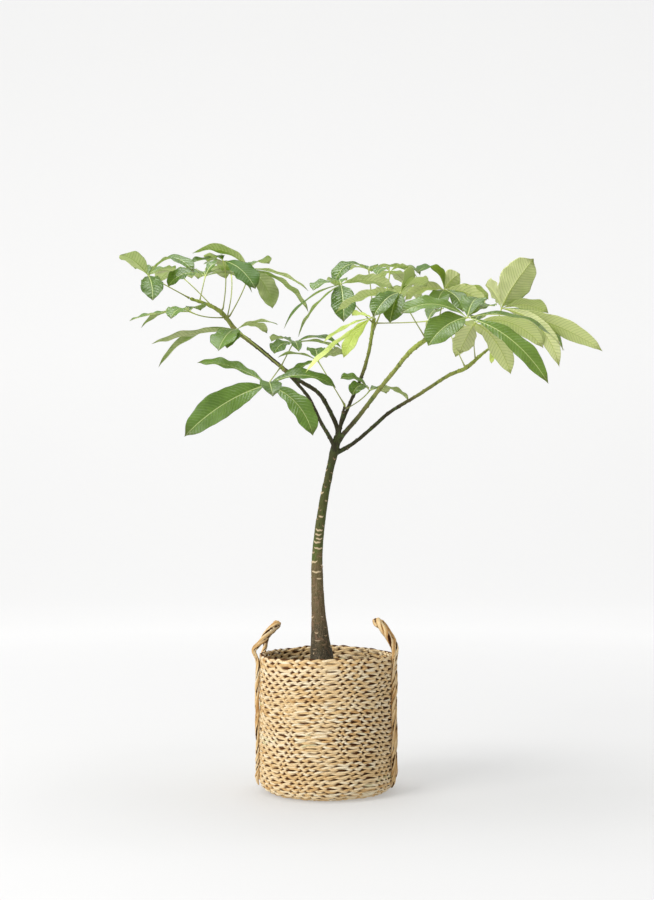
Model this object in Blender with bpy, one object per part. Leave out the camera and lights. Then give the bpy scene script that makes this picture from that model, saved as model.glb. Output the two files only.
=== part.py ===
"""A money tree (Pachira aquatica) in a nursery pot that stands in a braided basket.

The frame's origin is the centre of the basket's underside, with +Z up and +X to
the right of the viewer who stands at -Y. Lengths in the tables are centimetres.
"""

import math

import bmesh
import bpy
from mathutils import Matrix, Vector

CM = 0.01
GAP = 0.0003

BASKET_RADIUS = 0.149
BASKET_HEIGHT = 0.295
BASKET_ROWS = 33
ROW_PITCH = BASKET_HEIGHT / BASKET_ROWS
ROW_GROOVE = 0.0027
WALL_THICKNESS = 0.013
CORNER_RADIUS = 0.030
RIM_DROP = 0.003
FOOT_RING_RADIUS = 0.111
BASE_THICKNESS = 0.013
ROUND_STEPS = 32

STRAP_RADIUS = 0.0050
LOOP_RADIUS = 0.0078
LOOP_HALF_WIDTH = 0.040
LOOP_LEAN = 0.038
LOOP_STEPS = 10
LOOP_RISE_LEFT = 0.063
LOOP_RISE_RIGHT = 0.072
HANDLES_TURN = math.radians(5.5)
STRAP_HEIGHTS = (0.016, 0.022, 0.030, 0.060, 0.11, 0.16, 0.21, 0.26, BASKET_HEIGHT)
ROPE_SIDES = 8

SAUCER_RADIUS = 0.107
SAUCER_HEIGHT = 0.020
SAUCER_FLARE = 0.006
SAUCER_WALL = 0.002
POT_TOP_RADIUS = 0.118
POT_FOOT_RADIUS = 0.097
POT_WALL = 0.0025
POT_RIM_Z = 0.258
POT_LIP = 0.003
POT_LIP_DEPTH = 0.014
SOIL_Z = 0.248
SOIL_DOME = 0.004
SOIL_DOME_RADIUS = 0.055
DRAIN_HOLES = 6
FIRST_DRAIN_TURN = 0.3
DRAIN_RADIUS = 0.006
DRAIN_CIRCLE = 0.064
DRAIN_BAND = 0.02
BURIED_ROWS = 5
SOIL_CLEARANCE = 0.00036
BARK_CLEARANCE = 0.0004

LEAF_THICKNESS = 0.0010
HUB_RADIUS = 0.0042
PETIOLE_FOOT_RADIUS = 0.0026
PETIOLE_TIP_RADIUS = 0.0016
STALK_FOOT_LENGTH = 0.006
STALK_BEND = 0.22
STALK_STEPS = 4
STALK_SIDES = 6
BLADE_CUP = 0.25
TRUNK_SIDES = 12
BRANCH_SIDES = 8

# A leaflet's outline: (share of its length from the root, breadth as a share of the widest).
BLADE_STATIONS = ((0.10, 0.16), (0.30, 0.66), (0.55, 1.0), (0.80, 0.72), (0.94, 0.20))

# The wood: (x, y, z, radius) in cm, the trunk from its buried foot up, and each branch from
# inside the trunk to its tip.
TRUNK = (
    (-1.0, 0, 19.5, 1.6), (-1.0, 0, 22.5, 3.0), (-1.0, 0, 24.8, 3.4), (-1.1, 0, 26.4, 3.0),
    (-1.1, 0, 28.2, 2.7), (-1.4, 0, 31.7, 2.2), (-1.65, 0.1, 35.2, 1.85), (-1.9, 0.2, 39, 1.55),
    (-2.1, 0.4, 44, 1.38), (-2.2, 0.5, 48.5, 1.3), (-2.0, 0.5, 53, 1.15), (-1.6, 0.4, 57, 1.08),
    (-0.8, 0.2, 62.5, 0.98), (0, 0, 66.7, 0.9), (0.8, 0, 70.5, 0.88), (1.6, 0, 74, 1.0),
    (2.4, 0, 77.2, 0.85),
)
BRANCHES = {
    "left_low": (
        (1.6, -0.3, 74.2, 0.6), (1.1, -1.0, 76, 0.48), (-1.5, -2.5, 80.5, 0.42),
        (-4, -4, 85.5, 0.4), (-7.3, -5.5, 89.3, 0.38), (-10, -6, 92, 0.42),
    ),
    "left_high": (
        (2.2, 0.2, 76.5, 0.6), (2.2, 1.0, 79.3, 0.55), (-0.2, 2, 84.4, 0.5), (-2.4, 2, 87.3, 0.48),
        (-7.5, 1, 90.5, 0.46), (-14.9, -2, 96.4, 0.48), (-19.6, -3, 100, 0.5),
        (-22.8, -4, 103.8, 0.5), (-25.6, -5, 105.5, 0.42), (-29.6, -6, 106.8, 0.34),
    ),
    "centre": (
        (2.4, 0.2, 76.5, 0.55), (3.1, 2, 79.8, 0.45), (5.8, 4, 86.3, 0.42), (8.1, 6, 91.8, 0.42),
        (9.4, 7, 96.4, 0.42), (10.1, 8, 100.3, 0.42), (10.6, 8, 104.2, 0.48),
    ),
    "stub": ((2.6, -0.2, 77, 0.42), (2.9, -1.2, 80, 0.34), (3.9, -2, 83.9, 0.3)),
    "right_high": (
        (2.2, -0.1, 75.5, 0.65), (3.6, -0.4, 77.6, 0.55), (7.2, -2, 81.8, 0.5),
        (11.1, -4, 86.9, 0.5), (14.7, -5.5, 91.3, 0.48), (18.1, -6, 95.4, 0.52),
        (21.7, -7, 98.1, 0.54), (23.8, -7, 100.2, 0.46),
    ),
    "right_low": (
        (1.7, 0.1, 73.3, 0.6), (5.7, 1, 75.6, 0.46), (9.7, 2, 78.9, 0.44), (14, 3, 82.7, 0.44),
        (20.7, 4, 86.8, 0.42), (27, 5, 90.9, 0.44), (31.1, 5, 92.7, 0.48), (34, 5, 95.2, 0.42),
        (36.2, 5, 97, 0.3),
    ),
}

# Each leaf: where its stalk leaves the wood, where its leaflets meet, and the leaflets.
# A leaflet is its tip seen from there, its width, the rise of its arch, and how many
# degrees its upper face is turned from the sky towards the viewer.
LEAVES = {
    "leaf_01": ((-29.6, -6, 106.8), (-38.5, -8, 111.5), (
        (-4.7, -8, 3.4, 4.5, 0.8, -30), (10.4, -6, -0.2, 4.2, 3.4, 20), (4.5, 12, 3, 4, 1, 0),
        (1.8, -7, -6.2, 4.8, 1, 45), (-4, 9, 3, 4, 1, 0))),
    "leaf_02": ((-27.6, -5.6, 106.2), (-27, 2, 113), (
        (-8, -3, -2.8, 4.8, 1.6, 35), (5, 4, 1, 4, 2.5, 20), (10.5, -1, -3.7, 3.5, 2.2, 0),
        (-2.4, 8, 0.6, 4.2, 1.2, 0), (4, 9, 0.8, 4, 1.3, -10))),
    "leaf_03": ((-23.2, -4.1, 104.1), (-22.5, -6, 115), (
        (-6.8, -4, -1.2, 4, 0.7, 15), (7.3, -6, -6.8, 5.2, 1.2, 40), (-4, 7, 1, 4, 1.2, 0),
        (-0.2, 9, -0.9, 4, 0.6, 0))),
    "leaf_04": ((-21.9, -3.7, 102.8), (-17, -2, 114), (
        (-12, -6, 2.5, 4.8, 2.1, -10), (5.2, -3, -9.2, 4.6, 1.0, -60), (13, -3, -5.2, 3.2, 1.1, -8),
        (13, 4, -9, 3.4, 1.8, -2), (4, 8, 2.5, 4.5, 1, -20))),
    "leaf_05": ((-22.4, -3.9, 103.3), (-29, -14, 103), (
        (-12, -5, -2.4, 3.4, 0.5, 8), (-10.5, 2, -3, 3.2, 1.4, 0), (-3, -9, -2.5, 4, 1.2, 10),
        (1.6, 8, 1.4, 4.2, 0.8, -30), (-5, 9, 0.3, 4, 0.8, 0))),
    "leaf_06": ((-10, -6, 92), (-19.5, -7.5, 100), (
        (-17.5, -6, -3.6, 4.2, 0.5, -14), (-17, 1, -8, 3.6, 2.9, -10), (-2.9, -13, -5.8, 5.5, 1, 10),
        (-1.5, -8, -4.8, 4, 1, 15), (9, -3, 0.8, 3, 1.0, 0), (6.5, 4, -0.3, 3.4, 1.3, -10))),
    "leaf_07": ((-10, -6, 92), (-12.5, -14, 87.5), (
        (-17, -5, -11, 6.4, 1.5, 65), (9.6, -4, -10.8, 5, 1.9, 45), (-15, 2, 5, 4.6, 1.3, 25),
        (14.5, 3, -0.3, 5, 2.3, 30), (1.5, -10, -3, 4.5, 1.5, 5))),
    "leaf_08": ((-10, -6, 92), (-7.5, -1.5, 97.5), (
        (-4, -4, -2.5, 4, 1, 30), (-5, 8, 1.5, 3.5, 1, -10), (10.6, -3, -1, 3.6, 1.8, 15),
        (10, 4, -1, 3, 1.2, 0), (1.5, -9, -2.5, 2.4, 1.2, 10))),
    "leaf_09": ((10.4, 7.8, 103.4), (3, -6, 110), (
        (-12.3, -4, -10, 2.6, 1.7, 0), (-9.5, 8, -10.5, 2.6, 1.4, 20), (-6, -6, -2.1, 4.2, 1.0, 12),
        (0.5, -7, -9, 5.4, 1.2, 60), (11.5, -2, -1.2, 4.6, 1.1, -22), (-1, 9, 1, 4.5, 1, 0))),
    "leaf_10": ((10.6, 8, 104.2), (9.5, 10, 115.6), (
        (-8, -7, -4.3, 4.0, 2.8, 25), (-6, 9, 0.8, 3.4, 0.9, 0), (11, -4, -2.3, 3.6, 1.5, 0),
        (10.5, 4, 0.3, 3.2, 0.9, 0), (1, 11, 1.4, 4, 0.9, 0))),
    "leaf_11": ((21.5, -7, 98), (15.5, -14, 107), (
        (3.5, 9, 4.7, 5, 1, -60), (-14, -5, -5, 4, 1.6, -25), (-6, -8, -6, 4.5, 1.2, 50),
        (-2.5, -6, -7, 5, 1, 60), (6, 7, 2.5, 4.4, 1.2, -30))),
    "leaf_12": ((10.3, 8, 101.6), (14, 2, 114), (
        (-3.2, -7, -1.8, 3, 1, 10), (6.5, -5, -1.5, 3, 1.5, 0), (4, 8, -1.8, 4, 0.8, 0),
        (-2.4, 6, -1.2, 2.8, 0.6, 0))),
    "leaf_13": ((23.8, -7, 100.2), (26, 0, 109.5), (
        (-6.5, -5, 3.2, 4.8, 3.2, 10), (3.4, 1, 3.7, 4.4, 0.4, -75), (-9, -2, -2.5, 5.5, 1.5, -25),
        (-2.5, -8, -5.5, 4.4, 1, 40), (8.5, -2, -4.4, 4.6, 1.4, -40), (10, 3, -1.5, 4.6, 1.2, -10),
        (3.5, -6, -5.5, 4, 1, 40))),
    "leaf_14": ((23, -7, 99.4), (29, -20, 101), (
        (-8.5, -6, -6.4, 6.2, 1.2, 55), (-14, -3, 0.5, 4.8, 2.3, 40), (3, 6, 5, 5.5, 0.8, 20),
        (20.6, 3, -6.3, 4.5, 3.3, 20), (16, -5, -14, 4.3, 2.4, 60),
        (6.6, 8, 3.6, 4.8, 0.8, 15))),
    "leaf_15": ((33.4, 5, 94.7), (32, -6, 101.5), (
        (-3, 4, -6, 5.0, 0.3, -50), (-3.5, 8, -6.5, 3.6, 0.6, -60), (8.5, 6, -10.5, 4.8, 2.0, -50),
        (16, 8, -4.5, 4.5, 2.8, -30), (2, 9, 2, 4, 1, 0))),
    "leaf_16": ((36.2, 5, 97), (39.5, 8, 106.5), (
        (7.9, 5, 12, 7.8, 0.8, -70), (-2.6, 8, 6.4, 5.4, 0.8, -50), (11.5, 6, -0.2, 4.5, 1.3, -30),
        (22, -4, -10, 4.8, 0.8, -45), (11.6, -9, -14, 3.8, 3.0, -60), (14, 0, -9.5, 4, 2.8, 20))),
    "leaf_17": ((3.9, -2, 83.9), (-2, -10.4, 93), (
        (-7.5, 2.5, -3.5, 3.4, 0.3, 30), (-8.5, 2, 1, 3, 1, 0), (-0.5, 5.5, 3.2, 4, 0.6, 0),
        (5.3, 3.5, 1.8, 3.6, 0.6, -30))),
    "leaf_18": ((10.6, 8, 104.3), (10, 3, 103.8), (
        (-14.5, -22, -14, 2.0, 0.5, 0), (-10.9, -16.5, -7.2, 2.0, 0.8, 0), (-6.4, -4, -9.3, 3.2, 1, 40),
        (-4.5, -5, 0, 3, 0.4, 35))),
    "leaf_19": ((3.7, -1.9, 83.3), (9.5, 2.5, 87.5), (
        (-6.5, -3, 2.5, 3.6, 1.2, 28), (-4, -7, -1.5, 3.6, 1.6, 40), (9, 4, -2, 3.4, 1.6, 0),
        (4, 8, 0, 3.4, 1, 0))),
    "leaf_20": ((-25, -4.8, 105.1), (-34, 8, 114.6), (
        (-5, 8, -1, 4.4, 1.2, 0), (-1.5, 11, 0.6, 4.4, 1.2, 0), (-7, 4, 0.2, 3.8, 0.8, -10),
        (4.5, 3, 0.2, 3.4, 0.8, 0), (2.5, 9.5, 0.3, 4, 1.0, 0))),
    "leaf_21": ((-22, -3.7, 102.9), (-22, 12, 115), (
        (-6, 7, 1, 4.2, 1.2, 0), (-1, 11, 2, 4.8, 1.5, 0), (4, 10, -1.5, 4.4, 1.2, 0),
        (8, 4, -2, 4, 1.5, -10), (-6, -3.5, 1.8, 3.6, 1.0, 0))),
    "leaf_22": ((10.4, 8, 102.5), (14, 17, 112), (
        (-1, 11, -1.5, 4.4, 1.5, 0), (4, 10, -1, 4.6, 1.5, 0), (8.5, 5, -2, 4.6, 1.5, 0),
        (7.5, -2, -2.5, 4, 1.2, 0))),
    "leaf_23": ((31.1, 5, 92.7), (28, 18, 104), (
        (-3.4, 9, -1, 4, 1.5, 0), (1.2, 11, -1, 4.4, 1.5, 0), (5.5, 11, -3, 4.6, 1.5, 0),
        (9, 5, -2, 4.6, 1.5, 0))),
    "leaf_24": ((10.5, 8, 103.2), (22.5, 3, 103), (
        (3, 8, -3.5, 4, 1, 0), (9, 2, -3.5, 4.2, 1.2, 0), (3, 9, 3.5, 4, 1, 0),
        (2, -6, -4, 3, 1, 30))),
    "leaf_25": ((35.4, 5, 96.2), (41, 19, 101), (
        (9, 6, 0.5, 4.8, 1.5, 0), (-1, 11, 0, 4.4, 1.5, 0), (2, 12, -3, 5, 1.5, 0),
        (10, -2, 0.5, 4.2, 1.5, 0))),
    "leaf_26": ((36.2, 5, 97), (37.2, 2.6, 98), (
        (-0.8, -1.2, -4.6, 1.2, 0.3, 40), (1.6, -1.6, -4, 1.2, 0.3, 40),
        (2.4, 1.2, -3, 1.1, 0.3, 0))),
}


def clear_scene():
    for item in list(bpy.data.objects):
        bpy.data.objects.remove(item)


def material(name, colour, roughness):
    made = bpy.data.materials.new(name)
    made.use_nodes = True
    shader = made.node_tree.nodes["Principled BSDF"]
    shader.inputs["Base Color"].default_value = (*colour, 1)
    shader.inputs["Roughness"].default_value = roughness
    shader.inputs["Metallic"].default_value = 0
    return made


def add_object(name, mesh_data, finish=None):
    made = bpy.data.objects.new(name, mesh_data)
    bpy.context.scene.collection.objects.link(made)
    if finish:
        made.data.materials.clear()
        made.data.materials.append(finish)
    return made


def mesh_from(bm, name):
    bmesh.ops.triangulate(bm, faces=bm.faces)
    bmesh.ops.recalc_face_normals(bm, faces=bm.faces)
    data = bpy.data.meshes.new(name)
    bm.to_mesh(data)
    bm.free()
    return data


def turned(name, profile, steps=ROUND_STEPS):
    """A closed ring or disc turned about Z from a closed outline of (radius, z) points.

    Points on the axis close the solid there with a fan.
    """
    bm = bmesh.new()
    rings = []
    for radius, z in profile:
        if radius == 0:
            rings.append([bm.verts.new((0, 0, z))])
            continue
        angles = (2 * math.pi * i / steps for i in range(steps))
        rings.append([bm.verts.new((radius * math.cos(a), radius * math.sin(a), z)) for a in angles])
    for lower, upper in zip(rings, rings[1:] + rings[:1]):
        if len(lower) == 1 and len(upper) == 1:
            continue
        for i in range(steps):
            corners = [lower[i % len(lower)], lower[(i + 1) % len(lower)],
                       upper[(i + 1) % len(upper)], upper[i % len(upper)]]
            bm.faces.new(list(dict.fromkeys(corners)))
    return mesh_from(bm, name)


def tube(points, radii, sides, round_end=False):
    """A closed tube along the points, with flat ends, or its last point as the tip of a round end."""
    bm = bmesh.new()
    ahead = (points[1] - points[0]).normalized()
    across = ahead.orthogonal().normalized()
    rings = []
    ringed = len(points) - 1 if round_end else len(points)
    for i, (point, radius) in enumerate(zip(points[:ringed], radii)):
        towards = points[min(i + 1, len(points) - 1)] - points[max(i - 1, 0)]
        towards.normalize()
        across = (across - towards * across.dot(towards)).normalized()
        side = towards.cross(across)
        angles = (2 * math.pi * k / sides for k in range(sides))
        rings.append([bm.verts.new(point + (across * math.cos(a) + side * math.sin(a)) * radius)
                      for a in angles])
    for lower, upper in zip(rings, rings[1:]):
        for k in range(sides):
            j = (k + 1) % sides
            bm.faces.new((lower[k], lower[j], upper[j], upper[k]))
    bm.faces.new(rings[0][::-1])
    if round_end:
        tip = bm.verts.new(points[-1])
        for k in range(sides):
            bm.faces.new((rings[-1][k], rings[-1][(k + 1) % sides], tip))
    else:
        bm.faces.new(rings[-1])
    return mesh_from(bm, "tube")


def fused(name, meshes, finish):
    """One closed solid from overlapping closed meshes."""
    body = add_object(name, meshes[0])
    others = bpy.data.collections.new(name + "_pieces")
    for number, data in enumerate(meshes[1:]):
        others.objects.link(bpy.data.objects.new(f"{name}_piece_{number}", data))
    union = body.modifiers.new("join", "BOOLEAN")
    union.operation = "UNION"
    union.operand_type = "COLLECTION"
    union.collection = others
    union.solver = "EXACT"
    return applied(body, list(others.objects), finish, others)


def applied(body, cutters, finish, group=None):
    """Keeps the modified shape of body as its mesh and removes what shaped it."""
    bpy.context.view_layer.update()
    graph = bpy.context.evaluated_depsgraph_get()
    data = bpy.data.meshes.new_from_object(body.evaluated_get(graph))
    body.modifiers.clear()
    body.data = data
    data.materials.clear()
    data.materials.append(finish)
    for cutter in cutters:
        bpy.data.objects.remove(cutter)
    if group:
        bpy.data.collections.remove(group)
    return body


def cut(body, cutter_meshes, finish):
    """Takes each cutter's solid out of body."""
    cutters = []
    for data in cutter_meshes:
        cutter = add_object("cutter", data)
        cutters.append(cutter)
        notch = body.modifiers.new("cut", "BOOLEAN")
        notch.operation = "DIFFERENCE"
        notch.object = cutter
        notch.solver = "EXACT"
    return applied(body, cutters, finish)


def wall_radius(z):
    """The basket's outer radius at a height, drawn in towards the floor by its round corner."""
    if z >= CORNER_RADIUS:
        return BASKET_RADIUS
    drop = CORNER_RADIUS - z
    return BASKET_RADIUS - CORNER_RADIUS + math.sqrt(CORNER_RADIUS ** 2 - drop ** 2)


def build_basket(straw):
    """The wall's stacked rows of braid, turned in at the foot, and the coiled base that closes it."""
    corner = BASKET_RADIUS - CORNER_RADIUS
    outer = [(corner, 0)]
    for row in range(BASKET_ROWS):
        crest = (row + 0.5) * ROW_PITCH
        outer.append((wall_radius(crest), crest))
        if row < BASKET_ROWS - 1:
            groove = (row + 1) * ROW_PITCH
            outer.append((wall_radius(groove) - ROW_GROOVE, groove))
    inside = BASKET_RADIUS - WALL_THICKNESS
    bend = CORNER_RADIUS - WALL_THICKNESS
    rim = [(BASKET_RADIUS - RIM_DROP, BASKET_HEIGHT), (inside, BASKET_HEIGHT - RIM_DROP)]
    inner = [(corner + bend * math.cos(turn), CORNER_RADIUS - bend * math.sin(turn))
             for turn in (0, math.pi / 4, math.pi / 2)]
    foot = [(FOOT_RING_RADIUS, WALL_THICKNESS), (FOOT_RING_RADIUS, 0)]
    add_object("basket_wall", turned("basket_wall", outer + rim + inner + foot), straw)
    base_radius = FOOT_RING_RADIUS - GAP
    base = [(0, 0), (base_radius, 0), (base_radius, BASE_THICKNESS), (0, BASE_THICKNESS)]
    add_object("basket_base", turned("basket_base", base), straw)


def handle_path(side):
    """A handle's centre line and radii: up the wall, over in a leaning loop, and down again."""
    off_wall = STRAP_RADIUS + 2 * GAP
    path, radii = [], []

    def reach(z):
        return math.sqrt((wall_radius(z) + off_wall) ** 2 - LOOP_HALF_WIDTH ** 2)

    def place(radial, tangential, z, radius):
        path.append(side["out"] * radial + side["along"] * tangential + Vector((0, 0, z)))
        radii.append(radius)

    for z in STRAP_HEIGHTS:
        place(reach(z), -LOOP_HALF_WIDTH, z, STRAP_RADIUS)
    for i in range(1, LOOP_STEPS):
        turn = math.pi * i / LOOP_STEPS
        climb = math.sin(turn)
        radial = reach(BASKET_HEIGHT) - LOOP_LEAN * climb ** 2
        thick = STRAP_RADIUS + (LOOP_RADIUS - STRAP_RADIUS) * climb
        place(radial, -LOOP_HALF_WIDTH * math.cos(turn), BASKET_HEIGHT + side["rise"] * climb, thick)
    for z in reversed(STRAP_HEIGHTS):
        place(reach(z), LOOP_HALF_WIDTH, z, STRAP_RADIUS)
    return path, radii


def build_handles(straw):
    """Two rope handles, each one rope that runs up the wall, over and down."""
    right = Vector((math.cos(HANDLES_TURN), -math.sin(HANDLES_TURN), 0))
    back = Vector((math.sin(HANDLES_TURN), math.cos(HANDLES_TURN), 0))
    sides = {
        "handle_left": {"out": -right, "along": back, "rise": LOOP_RISE_LEFT},
        "handle_right": {"out": right, "along": back, "rise": LOOP_RISE_RIGHT},
    }
    for name, side in sides.items():
        path, radii = handle_path(side)
        add_object(name, tube(path, radii, ROPE_SIDES), straw)


def build_saucer(plastic, floor):
    """The dish under the pot, which keeps water off the basket."""
    inside = floor + SAUCER_WALL
    top = floor + SAUCER_HEIGHT
    dish = [(0, floor), (SAUCER_RADIUS - SAUCER_FLARE, floor), (SAUCER_RADIUS, top),
            (SAUCER_RADIUS - SAUCER_WALL, top), (SAUCER_RADIUS - SAUCER_FLARE - SAUCER_WALL, inside),
            (0, inside)]
    add_object("drip_saucer", turned("drip_saucer", dish), plastic)
    return inside


def build_pot(plastic, foot):
    """The nursery pot: a tapered tub with a lip round its rim and drain holes in its floor."""
    inside = foot + POT_WALL
    lip = POT_TOP_RADIUS + POT_LIP
    under_lip = POT_RIM_Z - POT_LIP_DEPTH
    near, far = DRAIN_CIRCLE - DRAIN_BAND, DRAIN_CIRCLE + DRAIN_BAND
    shell = [(0, foot), (near, foot), (far, foot), (POT_FOOT_RADIUS, foot),
             (POT_TOP_RADIUS, under_lip - POT_LIP), (lip, under_lip), (lip, POT_RIM_Z),
             (POT_TOP_RADIUS - POT_WALL, POT_RIM_Z), (POT_FOOT_RADIUS - POT_WALL, inside),
             (far, inside), (near, inside), (0, inside)]
    pot = add_object("nursery_pot", turned("nursery_pot", shell))
    past = Vector((0, 0, POT_WALL * 2))
    drains = []
    for i in range(DRAIN_HOLES):
        angle = 2 * math.pi * (i + FIRST_DRAIN_TURN) / DRAIN_HOLES
        centre = Vector((DRAIN_CIRCLE * math.cos(angle), DRAIN_CIRCLE * math.sin(angle), foot))
        drains.append(tube([centre - past, centre + past], [DRAIN_RADIUS] * 2, ROPE_SIDES))
    cut(pot, drains, plastic)
    return inside


def build_soil(earth, foot):
    """The soil that fills the pot, with the trunk's foot buried in it."""
    slope = (POT_TOP_RADIUS - POT_FOOT_RADIUS) / (POT_RIM_Z - foot)
    foot_radius = POT_FOOT_RADIUS - POT_WALL - 2 * GAP
    edge = foot_radius + slope * (SOIL_Z - foot)
    top = SOIL_Z + SOIL_DOME
    fill = [(0, foot), (foot_radius, foot), (edge, SOIL_Z), (SOIL_DOME_RADIUS, top), (0, top)]
    soil = add_object("soil", turned("soil", fill))
    hollow = wood_tube(TRUNK[:BURIED_ROWS], TRUNK_SIDES, SOIL_CLEARANCE, round_end=False)
    cut(soil, [hollow], earth)


def wood_tube(row, sides, grow=0.0, round_end=True):
    """A stem through a table's points, grown by a clearance, with a rounded tip."""
    centres = [Vector(point[:3]) * CM for point in row]
    radii = [point[3] * CM + grow for point in row]
    if round_end:
        ahead = (centres[-1] - centres[-2]).normalized()
        last, end = radii[-1], centres[-1]
        shoulder = last * math.sqrt(0.5)
        centres += [end + ahead * shoulder, end + ahead * last]
        radii.append(shoulder)
    return tube(centres, radii, sides, round_end)


def build_trunk(bark):
    """The trunk and its branches, which grew as one piece."""
    stems = [wood_tube(TRUNK, TRUNK_SIDES)]
    stems += [wood_tube(row, BRANCH_SIDES) for row in BRANCHES.values()]
    return fused("trunk_and_branches", stems, bark)


def blade(hub, tip, width, arch, tilt):
    """A leaflet's thin blade: a lens in section, arched along its length, pointed at its tip."""
    reach = tip - hub
    sky = Vector((0, -math.sin(tilt), math.cos(tilt)))
    ahead = reach.normalized()
    up = (sky - ahead * sky.dot(ahead)).normalized()
    across = ahead.cross(up)
    lift = (Vector((0, 0, 1)) - ahead * ahead.z).normalized()

    def midrib(share):
        return hub + reach * share + lift * arch * 4 * share * (1 - share)

    bm = bmesh.new()
    rings = []
    for share, breadth in BLADE_STATIONS:
        centre = midrib(share)
        half = width / 2 * breadth
        rim = (across + up * BLADE_CUP) * half
        other = (up * BLADE_CUP - across) * half
        thick = up * (LEAF_THICKNESS / 2)
        rings.append([bm.verts.new(centre + offset) for offset in (rim, thick, other, -thick)])
    root, point = bm.verts.new(hub), bm.verts.new(midrib(1))
    for k in range(4):
        j = (k + 1) % 4
        bm.faces.new((root, rings[0][j], rings[0][k]))
        bm.faces.new((rings[-1][k], rings[-1][j], point))
        for lower, upper in zip(rings, rings[1:]):
            bm.faces.new((lower[k], lower[j], upper[j], upper[k]))
    return mesh_from(bm, "blade")


def wood_under(root):
    """The branch axis nearest a stalk's root: the point, direction, radius, and whether it's a tip."""
    best = None
    for row in BRANCHES.values():
        for start, end in zip(row, row[1:]):
            a, b = Vector(start[:3]) * CM, Vector(end[:3]) * CM
            along = b - a
            share = min(1, max(0, (root - a).dot(along) / along.length_squared))
            spot = a + along * share
            distance = (spot - root).length
            if best is None or distance < best[0]:
                radius = (start[3] + (end[3] - start[3]) * share) * CM
                best = (distance, spot, along.normalized(), radius, share == 1 and end is row[-1])
    return best[1:]


def stalk(root, hub):
    """A leaf's stalk: square out of the wood, then in an easy curve to its hub."""
    spot, axis, radius, at_tip = wood_under(root)
    out = hub - spot
    if not at_tip:
        out -= axis * out.dot(axis)
    out.normalize()
    start = spot + out * (radius + BARK_CLEARANCE)
    knee = start + out * STALK_FOOT_LENGTH
    reach = hub - knee
    bend = out * reach.length * STALK_BEND
    path = [start]
    for i in range(STALK_STEPS + 1):
        t = i / STALK_STEPS
        path.append(knee + reach * t + bend * 2 * t * (1 - t))
    taper = (PETIOLE_TIP_RADIUS - PETIOLE_FOOT_RADIUS) / (STALK_STEPS + 1)
    radii = [PETIOLE_FOOT_RADIUS + taper * i for i in range(STALK_STEPS + 2)]
    return tube(path, radii, STALK_SIDES)


def hub_mesh(centre):
    bm = bmesh.new()
    place = Matrix.Translation(centre)
    bmesh.ops.create_icosphere(bm, subdivisions=1, radius=HUB_RADIUS, matrix=place)
    return mesh_from(bm, "hub")


def build_leaf(name, row, finish):
    """One compound leaf: its stalk and its leaflets grew together and are one solid."""
    root, hub, leaflets = row
    hub = Vector(hub) * CM
    pieces = [hub_mesh(hub), stalk(Vector(root) * CM, hub)]
    for x, y, z, width, arch, tilt in leaflets:
        tip = hub + Vector((x, y, z)) * CM
        pieces.append(blade(hub, tip, width * CM, arch * CM, math.radians(tilt)))
    return fused(name, pieces, finish)


def build():
    clear_scene()
    straw = material("straw_braid", (0.62, 0.45, 0.25), 0.8)
    plastic = material("dark_plastic", (0.03, 0.03, 0.03), 0.5)
    earth = material("potting_soil", (0.05, 0.035, 0.025), 0.95)
    bark = material("bark", (0.13, 0.11, 0.07), 0.8)
    leaf_green = material("leaf_green", (0.10, 0.27, 0.07), 0.45)
    young_green = material("young_leaf_green", (0.36, 0.52, 0.12), 0.45)
    build_basket(straw)
    build_handles(straw)
    saucer_inside = build_saucer(plastic, BASE_THICKNESS + GAP)
    pot_inside = build_pot(plastic, saucer_inside + GAP)
    build_soil(earth, pot_inside + GAP)
    build_trunk(bark)
    young = {"leaf_18", "leaf_26"}
    for name, row in LEAVES.items():
        build_leaf(name, row, young_green if name in young else leaf_green)


build()
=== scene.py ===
"""The looks of a potted money tree in a braided basket, built round its CAD frame."""

import math

import bpy
import numpy as np
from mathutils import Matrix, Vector


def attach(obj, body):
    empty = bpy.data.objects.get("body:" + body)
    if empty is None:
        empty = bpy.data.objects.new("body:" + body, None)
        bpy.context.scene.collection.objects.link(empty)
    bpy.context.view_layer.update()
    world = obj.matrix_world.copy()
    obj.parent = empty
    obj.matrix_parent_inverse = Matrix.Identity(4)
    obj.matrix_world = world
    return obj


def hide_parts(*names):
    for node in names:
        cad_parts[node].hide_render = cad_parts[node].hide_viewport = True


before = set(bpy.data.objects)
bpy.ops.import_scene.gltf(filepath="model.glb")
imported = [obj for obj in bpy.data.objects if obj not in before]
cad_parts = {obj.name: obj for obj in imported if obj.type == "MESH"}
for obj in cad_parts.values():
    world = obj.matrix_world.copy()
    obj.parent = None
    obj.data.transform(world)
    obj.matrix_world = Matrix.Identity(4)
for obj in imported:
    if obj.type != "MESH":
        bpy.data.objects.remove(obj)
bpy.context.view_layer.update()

CM = 0.01
UP = np.array([0, 0, 1.0])

# The basket: its own measures, and the plaited strands its rows are made of.
BASKET_RADIUS = 0.149
BASKET_HEIGHT = 0.295
CORNER_RADIUS = 0.030
BRAID_ROWS = 36
FOOT_TURN_IN = 0.008
BRAID_PITCH = (FOOT_TURN_IN + BASKET_HEIGHT + (math.pi / 2 - 1) * CORNER_RADIUS) / BRAID_ROWS
BRAID_DEPTH = 0.0049
BRAID_PERIOD = 0.072
STRANDS = 3
STRAND_SWING = 0.0030
STRAND_WEAVE = 0.0022
STRAND_WIDE = 0.0025
STRAND_THICK = 0.0026
FIBRE_TWIST = 55
WALL_PIECES = ("basket_wall_low", "basket_wall_middle", "basket_wall_high")
ROWS_IN_A_PIECE = BRAID_ROWS // len(WALL_PIECES)
WALL_SAMPLES = 250
BASE_COIL_RADIUS = 0.1046
BASE_COIL_START = 0.55
BASE_COIL_Z = 0.0065
BASE_COIL_SAMPLES = 1000
BASE_COIL_SEED = 77
STRAW_VALUES = ("fibre", "tone", "deep")

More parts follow.
